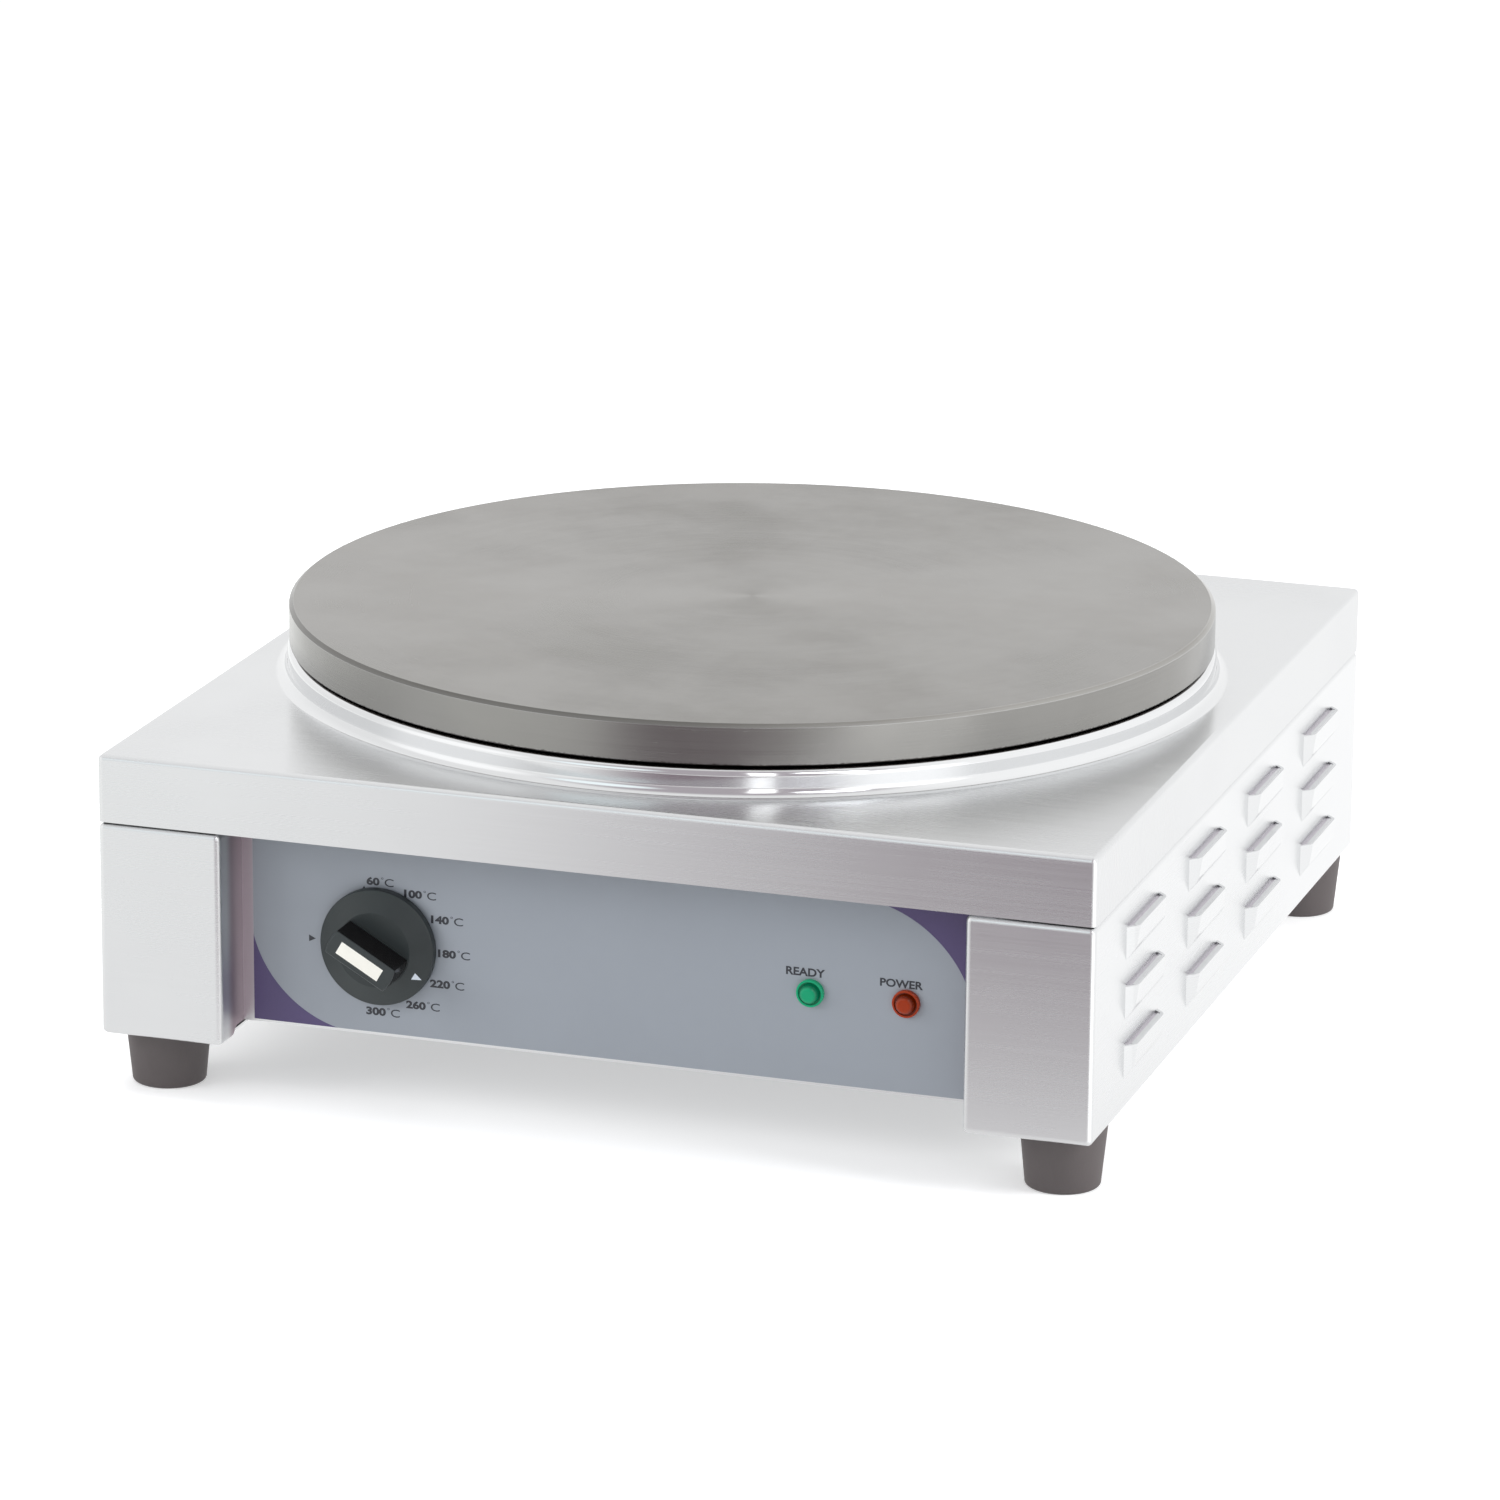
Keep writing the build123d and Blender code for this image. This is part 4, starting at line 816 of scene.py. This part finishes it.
def lip_steel():
    """Sheet turned in at a louvre's mouth: bright at its outer edge, dull with painted shade by the wall."""
    material, tree, put, where = surface("lip_steel", Metallic=1.0)
    out = calc(tree, "ABSOLUTE", split(tree, where)[0])
    # Painted shade: the strip against the wall is coloured darker.
    shaded = smooth_step(tree, out, HALF_W + 1.6 * MM, HALF_W + 1.4 * MM)
    grain = use(tree, BRUSHED, Vector=where, Stretch=LIP_GRAIN, Contrast=GRAIN_CONTRAST)
    base = mix_colour(tree, shaded, STEEL, LIP_PAINTED_SHADE)
    tree.links.new(scaled(tree, base, grain["Tone"]), put["Base Color"])
    tree.links.new(calc(tree, "ADD", grain["Roughness Shift"], LIP_ROUGHNESS), put["Roughness"])
    return material


def lip_tree():
    """A stepped lip on every point: a low strip against the wall and a higher one at the louvre's edge."""
    tree, given, put = growing_tree("louvre_lips", LIP_SIZES, Turn="NodeSocketFloat")

    def strip(width, length, out, drop):
        low = calc(tree, "MULTIPLY", calc(tree, "ADD", drop, given["Thickness"]), -1.0)
        low = calc(tree, "ADD", low, calc(tree, "MULTIPLY", given["Thickness"], 0.5))
        away = calc(tree, "ADD", out, calc(tree, "MULTIPLY", width, 0.5))
        return block(tree, {0: width, 1: length, 2: given["Thickness"]}, {0: away, 2: low})

    inner = strip(given["Inner Width"], given["Inner Length"], 0.0, given["Step"])
    outer = strip(given["Outer Width"], given["Outer Length"], given["Inner Width"], LIP_BELOW_MOUTH)
    lip = add(tree, "GeometryNodeJoinGeometry")
    tree.links.new(inner, lip.inputs[0])
    tree.links.new(outer, lip.inputs[0])
    turn = add(tree, "ShaderNodeCombineXYZ", {2: given["Turn"]}).outputs[0]
    set_on_points(tree, given, put, lip.outputs[0], turn)
    return tree


# Painted light: the pale lips fill the louvres' mouths where the open mouths would show the dark inside.
def louvre_lips():
    """Lips on each wall, on the grid of its louvres, which is centred on the body's length."""
    tree, finish = lip_tree(), lip_steel()
    middle_column = (LOUVRE_COLUMNS - 1) / 2
    for name, side, turn in (("right_louvre_lips", 1, 0.0), ("left_louvre_lips", -1, pi)):
        places = []
        for column in range(LOUVRE_COLUMNS):
            y = MID_Y + (column - middle_column) * LOUVRE_PITCH_Y
            places += [(side * HALF_W, y, LOUVRE_TOP - row * LOUVRE_PITCH_Z) for row in range(LOUVRE_ROWS)]
        mesh = grown(name, tree, places, {**LIP_SIZES, "Turn": turn, "Finish": finish})
        piece(name, mesh, finish, HOUSING)


# ---- print on the film ----------------------------------------------------------------------
PRINT_T = 0.04 * MM
CAP_H = 3.5 * MM
LETTER_T = 0.004
DIAL_STRETCH = 1.32
WORD_STRETCH = 1.13
OFF_ARROW, ARROW_HALF_W, ARROW_HALF_H = (-128.7 * MM, 69.6 * MM), 1.5 * MM, 1.45 * MM
SET_NIB, NIB_HALF_W, NIB_DOWN, NIB_UP = (-105.6 * MM, 93.8 * MM), 1.0 * MM, 0.8 * MM, 1.1 * MM
POINTER_HEADING = radians(120.0)
POINTER_TAIL_R, POINTER_TIP_R, POINTER_HALF_W = 19.6 * MM, 23.2 * MM, 1.7 * MM
LOW_ROUND, LOW_ROUND_R = (-105.3 * MM, 81.4 * MM), 51.3 * MM
HIGH_ROUND, HIGH_ROUND_R = (103.9 * MM, 57.6 * MM), 55.2 * MM
ROUND_STEPS = 40
DIAL = {60: (-98.5, 97.2), 100: (-80.9, 93.4), 140: (-69.1, 83.5), 180: (-66.1, 69.1),
        220: (-69.2, 55.7), 260: (-79.9, 45.4), 300: (-97.6, 40.8)}
LAMP_WORDS = {"READY": (86.0, 78.5), "POWER": (126.7, 77.9)}


def letters(text, height, weight, stretch):
    """A line of text as a mesh of that height in the XY plane, from its left end, and its width."""
    curve = bpy.data.curves.new("letters", "FONT")
    curve.body = text
    curve.size = 1.0
    curve.offset = weight
    curve.extrude = LETTER_T
    curve.resolution_u = 4
    item = bpy.data.objects.new("letters", curve)
    bpy.context.scene.collection.objects.link(item)
    bpy.context.view_layer.update()
    mesh = bpy.data.meshes.new_from_object(item.evaluated_get(bpy.context.evaluated_depsgraph_get()))
    bpy.data.objects.remove(item)
    low = min(v.co.y for v in mesh.vertices)
    high = max(v.co.y for v in mesh.vertices)
    left = min(v.co.x for v in mesh.vertices)
    size = height / (high - low)
    mesh.transform(Matrix.Diagonal((size * stretch, size, size, 1)) @ Matrix.Translation((-left, -low, 0)))
    return mesh, max(v.co.x for v in mesh.vertices)


def dial_label(number):
    """Bold number, small raised ring and a lighter C, as a list of (mesh, shift), and their whole width."""
    gap = 0.12 * CAP_H
    digits, width = letters(str(number), CAP_H, weight=0.045, stretch=DIAL_STRETCH)
    degree, degree_w = letters("o", 0.26 * CAP_H, weight=0.01, stretch=1.1)
    unit, unit_w = letters("C", 0.98 * CAP_H, weight=0.004, stretch=DIAL_STRETCH)
    ring_x = width + 1.6 * gap
    unit_x = ring_x + degree_w + 1.2 * gap
    whole = unit_x + unit_w
    return [(digits, (0.0, 0.0)), (degree, (ring_x, 0.82 * CAP_H)), (unit, (unit_x, 0.0))], whole


def stand_up(mesh, x, z):
    """Turns a flat mesh from the XY plane to face the user and sets its corner on the film."""
    mesh.transform(Matrix.Translation((x, FILM_Y - PRINT_T / 2, z)) @ Matrix.Rotation(pi / 2, 4, "X"))


def join_meshes(meshes, name):
    joined = bmesh.new()
    for mesh in meshes:
        joined.from_mesh(mesh)
        bpy.data.meshes.remove(mesh)
    return mesh_from(joined, name)


def panel_print():
    meshes = []
    for number, (x, z) in DIAL.items():
        parts, whole = dial_label(number)
        for mesh, (dx, dz) in parts:
            stand_up(mesh, x * MM - whole / 2 + dx, z * MM - CAP_H / 2 + dz)
            meshes.append(mesh)
    for word, (x, z) in LAMP_WORDS.items():
        mesh, width = letters(word, CAP_H, weight=0.030, stretch=WORD_STRETCH)
        stand_up(mesh, x * MM - width / 2, z * MM - CAP_H / 2)
        meshes.append(mesh)
    piece("panel_print", join_meshes(meshes, "panel_print"), PRINT, HOUSING)


def off_marks():
    """Arrow at the off position and the small nib above the knob."""
    x, z = OFF_ARROW
    left, top, bottom = x - ARROW_HALF_W, z + ARROW_HALF_H, z - ARROW_HALF_H
    arrow = slab([(left, bottom), (x + ARROW_HALF_W, z), (left, top)], PRINT_T)
    piece("off_arrow", mesh_from(arrow, "off_arrow"), PRINT, HOUSING)
    x, z = SET_NIB
    foot = z - NIB_DOWN
    nib = slab([(x - NIB_HALF_W, foot), (x + NIB_HALF_W, foot), (x, z + NIB_UP)], PRINT_T)
    piece("set_nib", mesh_from(nib, "set_nib"), PRINT, HOUSING)


def knob_pointer():
    """Small white triangle on the slope of the knob's flange, in line with the grip."""
    out = Vector((sin(POINTER_HEADING), 0, cos(POINTER_HEADING)))
    along = Vector((cos(POINTER_HEADING), 0, -sin(POINTER_HEADING)))

    def place(radius, side, lift):
        slope = KNOB_RIM + KNOB_CONE * (KNOB_R - radius) / (KNOB_R - KNOB_HUB_R)
        spot = Vector((KNOB_AXIS.x, KNOB_BACK - slope - lift, KNOB_AXIS.z))
        return spot + out * radius + along * side

    corners = ((POINTER_TAIL_R, -POINTER_HALF_W), (POINTER_TIP_R, 0.0), (POINTER_TAIL_R, POINTER_HALF_W))
    shape = closed_slab([place(r, s, PRINT_T) for r, s in corners], [place(r, s, 0.0) for r, s in corners])
    piece("knob_pointer", mesh_from(shape, "knob_pointer"), KNOB_MARK_PRINT, KNOB)


def arc(centre, radius, start, end, steps):
    for i in range(steps + 1):
        angle = radians(start + (end - start) * i / steps)
        yield centre[0] + radius * cos(angle), centre[1] + radius * sin(angle)


def violet_corners():
    """Corners of the film outside two large rounds."""
    from_edge = 180 + degrees(acos((LOW_ROUND[0] - FILM_LOW.x) / LOW_ROUND_R))
    to_bottom = 270 - degrees(acos(min(1.0, (LOW_ROUND[1] - FILM_LOW.z) / LOW_ROUND_R)))
    lower = [(FILM_LOW.x, FILM_LOW.z)]
    lower += arc(LOW_ROUND, LOW_ROUND_R, to_bottom, from_edge, ROUND_STEPS)
    at_edge = degrees(acos((FILM_HIGH.x - HIGH_ROUND[0]) / HIGH_ROUND_R))
    upper = [(FILM_HIGH.x, FILM_HIGH.z), (HIGH_ROUND[0], FILM_HIGH.z)]
    upper += arc(HIGH_ROUND, HIGH_ROUND_R, 90, at_edge, ROUND_STEPS)
    for name, outline in (("violet_corner_low", lower), ("violet_corner_high", upper)):
        piece(name, mesh_from(slab(outline, PRINT_T), name), VIOLET_PRINT, HOUSING)


# ---- light, floor and camera ----------------------------------------------------------------
ROOM = (0.97, 0.97, 0.97, 1.0)
ROOM_RIGHT = (1.15, 1.15, 1.15, 1.0)
SHADE = (0.27, 0.22, 0.25, 1.0)
ROOM_LEFT = (1.09, 1.10, 1.09, 1.0)
ROOM_BACK = (1.05, 1.05, 1.05, 1.0)
DIM_FRONT = (0.50, 0.46, 0.49, 1.0)
WINDOW = (4.0, 4.1, 4.2, 1.0)
STREAK = (2.4, 2.4, 2.4, 1.0)
COOL_WINDOW = (1.12, 1.22, 1.24, 1.0)
GLOW_RIGHT = (1.7, 1.7, 1.7, 1.0)
GLOW_LEFT = (1.24, 1.24, 1.24, 1.0)
MATT_LIGHT = (0.66, 0.67, 0.69, 1.0)
RIGHT_WAY, RIGHT_EDGES = (0.9, 0.43, 0.0), (0.15, 0.65)

# Patches of the mirrored room, laid one over the other: the way to the middle of each, how far from it the
# patch starts and is full, in degrees, and its colour.
ROOM_PATCHES = (
    ((-0.3, 0.9, 0.35), 60, 20, ROOM_BACK),
    ((0.16, -0.80, 0.5), 46, 24, DIM_FRONT),
    ((0.78, -0.56, 0.28), 20, 8, GLOW_RIGHT),
    ((-0.83, -0.48, 0.28), 26, 10, GLOW_LEFT),
    ((-0.3, -0.83, 0.46), 16, 8, COOL_WINDOW),
)
WINDOW_PATCH = ((0.5, -0.6, 0.62), 9, 6, WINDOW)

# Upright streak of light in the room, in front: its heading, and where it starts and is full across its
# width, towards the front and above the floor, each as a part of a direction of length one.
STREAK_HEADING = radians(21.0)
STREAK_EDGES, STREAK_FRONT, STREAK_ABOVE = (0.06, 0.04), (-0.6, -0.75), (0.06, 0.14)

# Mirrored floor, with lengths in metres: where its paler right and left parts start and are full; the shaded
# patch, by its reach each way from its middle and its edges as shares of that reach; and the bright beam, by
# its half width as a share of the distance from its start, and where it starts and is full along its length.
RIGHT_FLOOR, LEFT_FLOOR, RIGHT_FLOOR_LEAN = (0.1, 0.3), (-0.25, -0.5), 0.3
SHADE_MIDDLE, SHADE_LEAN, SHADE_EDGES = (0.15, -0.85, FLOOR_Z), 0.33, (0.4, 1.45)
SHADE_TO_BACK, SHADE_TO_FRONT, SHADE_TO_RIGHT, SHADE_TO_LEFT = 0.50, 1.5, 0.26, 0.33
BEAM_START, BEAM_HEADING = (0.12, -0.164, FLOOR_Z), radians(58.0)
BEAM_WIDTH_EDGES, BEAM_LENGTH_EDGES = (0.42, 0.20), (0.10, 0.25)

FLOOR_HALF = 6.0
FLOOR_MATT, FLOOR_LIFT = (0.8, 0.8, 0.8, 1.0), 0.35

# Place, breadth and height in metres, and power in watts.
SOFTBOXES = {
    "top_softbox": ((-0.3, 0.2, 2.2), 2.0, 1.6, 26),
    "left_softbox": ((-1.9, -1.5, 1.1), 1.4, 1.2, 22),
    "right_softbox": ((2.0, -0.2, 1.2), 1.0, 1.2, 36),
}
LIGHTS_AIM = (0.0, 0.0, 0.1)

CAMERA_RIGHT, CAMERA_AHEAD, CAMERA_UP = 0.9300, 2.6168, 0.9871
CAMERA_AZIMUTH, CAMERA_ELEVATION, CAMERA_ROLL = radians(18.204), radians(16.383), radians(0.450)
FOCAL_PX, IMAGE_PX, SENSOR_MM = 7196.5, 1500, 36.0


def softboxes():
    """Soft lamps that aim at the machine and aren't mirrored."""
    for name, (place, breadth, height, power) in SOFTBOXES.items():
        data = bpy.data.lights.new(name, "AREA")
        data.shape = "RECTANGLE"
        data.size, data.size_y = breadth, height
        data.energy = power
        lamp = bpy.data.objects.new(name, data)
        bpy.context.scene.collection.objects.link(lamp)
        lamp.location = place
        lamp.rotation_mode = "QUATERNION"
        lamp.rotation_quaternion = (Vector(LIGHTS_AIM) - Vector(place)).to_track_quat("-Z", "Y")
        lamp.visible_glossy = False


def with_patch(tree, way, room, patch):
    """The room with a patch laid over it, soft between its two angles."""
    direction, start, full, colour = patch
    aim = tuple(Vector(direction).normalized())
    along = vector_calc(tree, "DOT_PRODUCT", way, aim, output="Value")
    mask = smooth_step(tree, along, cos(radians(start)), cos(radians(full)))
    return mix_colour(tree, mask, room, colour)


def studio_world():
    """White for the eye, plain light for matt things and a room with a window for shiny ones."""
    world = bpy.data.worlds.new("studio")
    bpy.context.scene.world = world
    world.use_nodes = True
    tree = world.node_tree
    tree.nodes.clear()
    rays = add(tree, "ShaderNodeLightPath").outputs
    seen = calc(tree, "MAXIMUM", rays["Is Camera Ray"], rays["Is Transmission Ray"])
    way = tree.nodes.new("ShaderNodeTexCoord").outputs["Generated"]
    right = vector_calc(tree, "DOT_PRODUCT", way, RIGHT_WAY, output="Value")
    room = mix_colour(tree, smooth_step(tree, right, *RIGHT_EDGES), ROOM, ROOM_RIGHT)
    for patch in ROOM_PATCHES:
        room = with_patch(tree, way, room, patch)
    side = (cos(STREAK_HEADING), sin(STREAK_HEADING), 0.0)
    off_line = calc(tree, "ABSOLUTE", vector_calc(tree, "DOT_PRODUCT", way, side, output="Value"))
    parts = split(tree, way)
    in_front = smooth_step(tree, parts[1], *STREAK_FRONT)
    ahead = calc(tree, "MULTIPLY", in_front, smooth_step(tree, parts[2], *STREAK_ABOVE))
    streak = calc(tree, "MULTIPLY", smooth_step(tree, off_line, *STREAK_EDGES), ahead)
    room = mix_colour(tree, streak, room, STREAK)
    room = with_patch(tree, way, room, WINDOW_PATCH)
    lit = mix_colour(tree, rays["Is Glossy Ray"], MATT_LIGHT, room)
    plain = add(tree, "ShaderNodeBackground", {"Color": lit, "Strength": 1.0}).outputs[0]
    white = add(tree, "ShaderNodeBackground", {"Color": WHITE, "Strength": 1.0}).outputs[0]
    both = add(tree, "ShaderNodeMixShader", {0: seen, 1: plain, 2: white}).outputs[0]
    add(tree, "ShaderNodeOutputWorld", {0: both})


def mirrored_floor(tree):
    """What shiny things show of the floor: pale, with a soft shaded patch and a bright beam on its right."""
    where = tree.nodes.new("ShaderNodeTexCoord").outputs["Object"]
    parts = split(tree, where)
    aside = calc(tree, "ADD", parts[0], calc(tree, "MULTIPLY", parts[1], RIGHT_FLOOR_LEAN))
    pale = mix_colour(tree, smooth_step(tree, aside, *RIGHT_FLOOR), ROOM, ROOM_RIGHT)
    pale = mix_colour(tree, smooth_step(tree, parts[0], *LEFT_FLOOR), pale, ROOM_LEFT)

    def share(value, ahead, behind):
        """How far a value has come of its reach on either side of nothing."""
        return calc(tree, "MAXIMUM", calc(tree, "DIVIDE", value, ahead), calc(tree, "DIVIDE", value, -behind))

    from_shade = split(tree, vector_calc(tree, "SUBTRACT", where, SHADE_MIDDLE))
    slide = calc(tree, "MULTIPLY", calc(tree, "MINIMUM", from_shade[1], 0.0), SHADE_LEAN)
    slant = calc(tree, "SUBTRACT", from_shade[0], slide)
    depth = share(from_shade[1], SHADE_TO_BACK, SHADE_TO_FRONT)
    breadth = share(slant, SHADE_TO_RIGHT, SHADE_TO_LEFT)
    squeezed = add(tree, "ShaderNodeCombineXYZ", {0: breadth, 1: depth}).outputs[0]
    reach = vector_calc(tree, "LENGTH", squeezed, output="Value")
    shaded = mix_colour(tree, smooth_step(tree, reach, *SHADE_EDGES), SHADE, pale)

    across, along = cos(BEAM_HEADING), sin(BEAM_HEADING)
    from_start = vector_calc(tree, "SUBTRACT", where, BEAM_START)
    off_line = vector_calc(tree, "DOT_PRODUCT", from_start, (across, along, 0.0), output="Value")
    ahead = vector_calc(tree, "DOT_PRODUCT", from_start, (along, -across, 0.0), output="Value")
    width = calc(tree, "DIVIDE", calc(tree, "ABSOLUTE", off_line), ahead)
    in_width = smooth_step(tree, width, *BEAM_WIDTH_EDGES)
    beam = calc(tree, "MULTIPLY", in_width, smooth_step(tree, ahead, *BEAM_LENGTH_EDGES))
    return mix_colour(tree, beam, shaded, GLOW_RIGHT)


def floor():
    """White floor: matt for the eye and for shadows, painted for what shiny things mirror."""
    shape = bmesh.new()
    sides = ((-1, -1), (1, -1), (1, 1), (-1, 1))
    corners = [shape.verts.new((x * FLOOR_HALF, y * FLOOR_HALF, FLOOR_Z)) for x, y in sides]
    shape.faces.new(corners)
    mesh = mesh_from(shape, "floor")
    material = bpy.data.materials.new("floor_white")
    material.use_nodes = True
    tree = material.node_tree
    tree.nodes.clear()
    rays = add(tree, "ShaderNodeLightPath").outputs
    seen = calc(tree, "MAXIMUM", rays["Is Camera Ray"], rays["Is Transmission Ray"])
    matt = add(tree, "ShaderNodeBsdfDiffuse", {"Color": FLOOR_MATT}).outputs[0]
    lift = add(tree, "ShaderNodeEmission", {"Color": WHITE, "Strength": FLOOR_LIFT}).outputs[0]
    lifted = add(tree, "ShaderNodeAddShader", {0: matt, 1: lift}).outputs[0]
    lit = add(tree, "ShaderNodeMixShader", {0: seen, 1: matt, 2: lifted}).outputs[0]
    mirrored = add(tree, "ShaderNodeEmission", {"Color": mirrored_floor(tree), "Strength": 1.0}).outputs[0]
    shown = add(tree, "ShaderNodeMixShader", {0: rays["Is Glossy Ray"], 1: lit, 2: mirrored}).outputs[0]
    add(tree, "ShaderNodeOutputMaterial", {0: shown})
    mesh.materials.append(material)
    item = bpy.data.objects.new("floor", mesh)
    bpy.context.scene.collection.objects.link(item)


def camera():
    """Camera placed from the front of the cover, turned by its azimuth, elevation and roll."""
    place = Vector((CAMERA_RIGHT, COVER_LOW.y - CAMERA_AHEAD, CAMERA_UP))
    flat = cos(CAMERA_ELEVATION)
    back = Vector((sin(CAMERA_AZIMUTH) * flat, -cos(CAMERA_AZIMUTH) * flat, sin(CAMERA_ELEVATION)))
    level = Vector((0, 0, 1)).cross(back).normalized()
    above = back.cross(level)
    right = level * cos(CAMERA_ROLL) + above * sin(CAMERA_ROLL)
    up = above * cos(CAMERA_ROLL) - level * sin(CAMERA_ROLL)
    data = bpy.data.cameras.new("camera")
    data.sensor_width = SENSOR_MM
    data.lens = FOCAL_PX * SENSOR_MM / IMAGE_PX
    item = bpy.data.objects.new("camera", data)
    bpy.context.scene.collection.objects.link(item)
    turn = Matrix((right, up, back)).transposed().to_4x4()
    item.matrix_world = Matrix.Translation(place) @ turn
    bpy.context.scene.camera = item


dress_nodes()
drawn_cover()
all_screws()
louvre_lips()
panel_print()
off_marks()
violet_corners()
knob_pointer()
studio_world()
floor()
softboxes()
camera()
bpy.context.scene.view_settings.view_transform = "Standard"
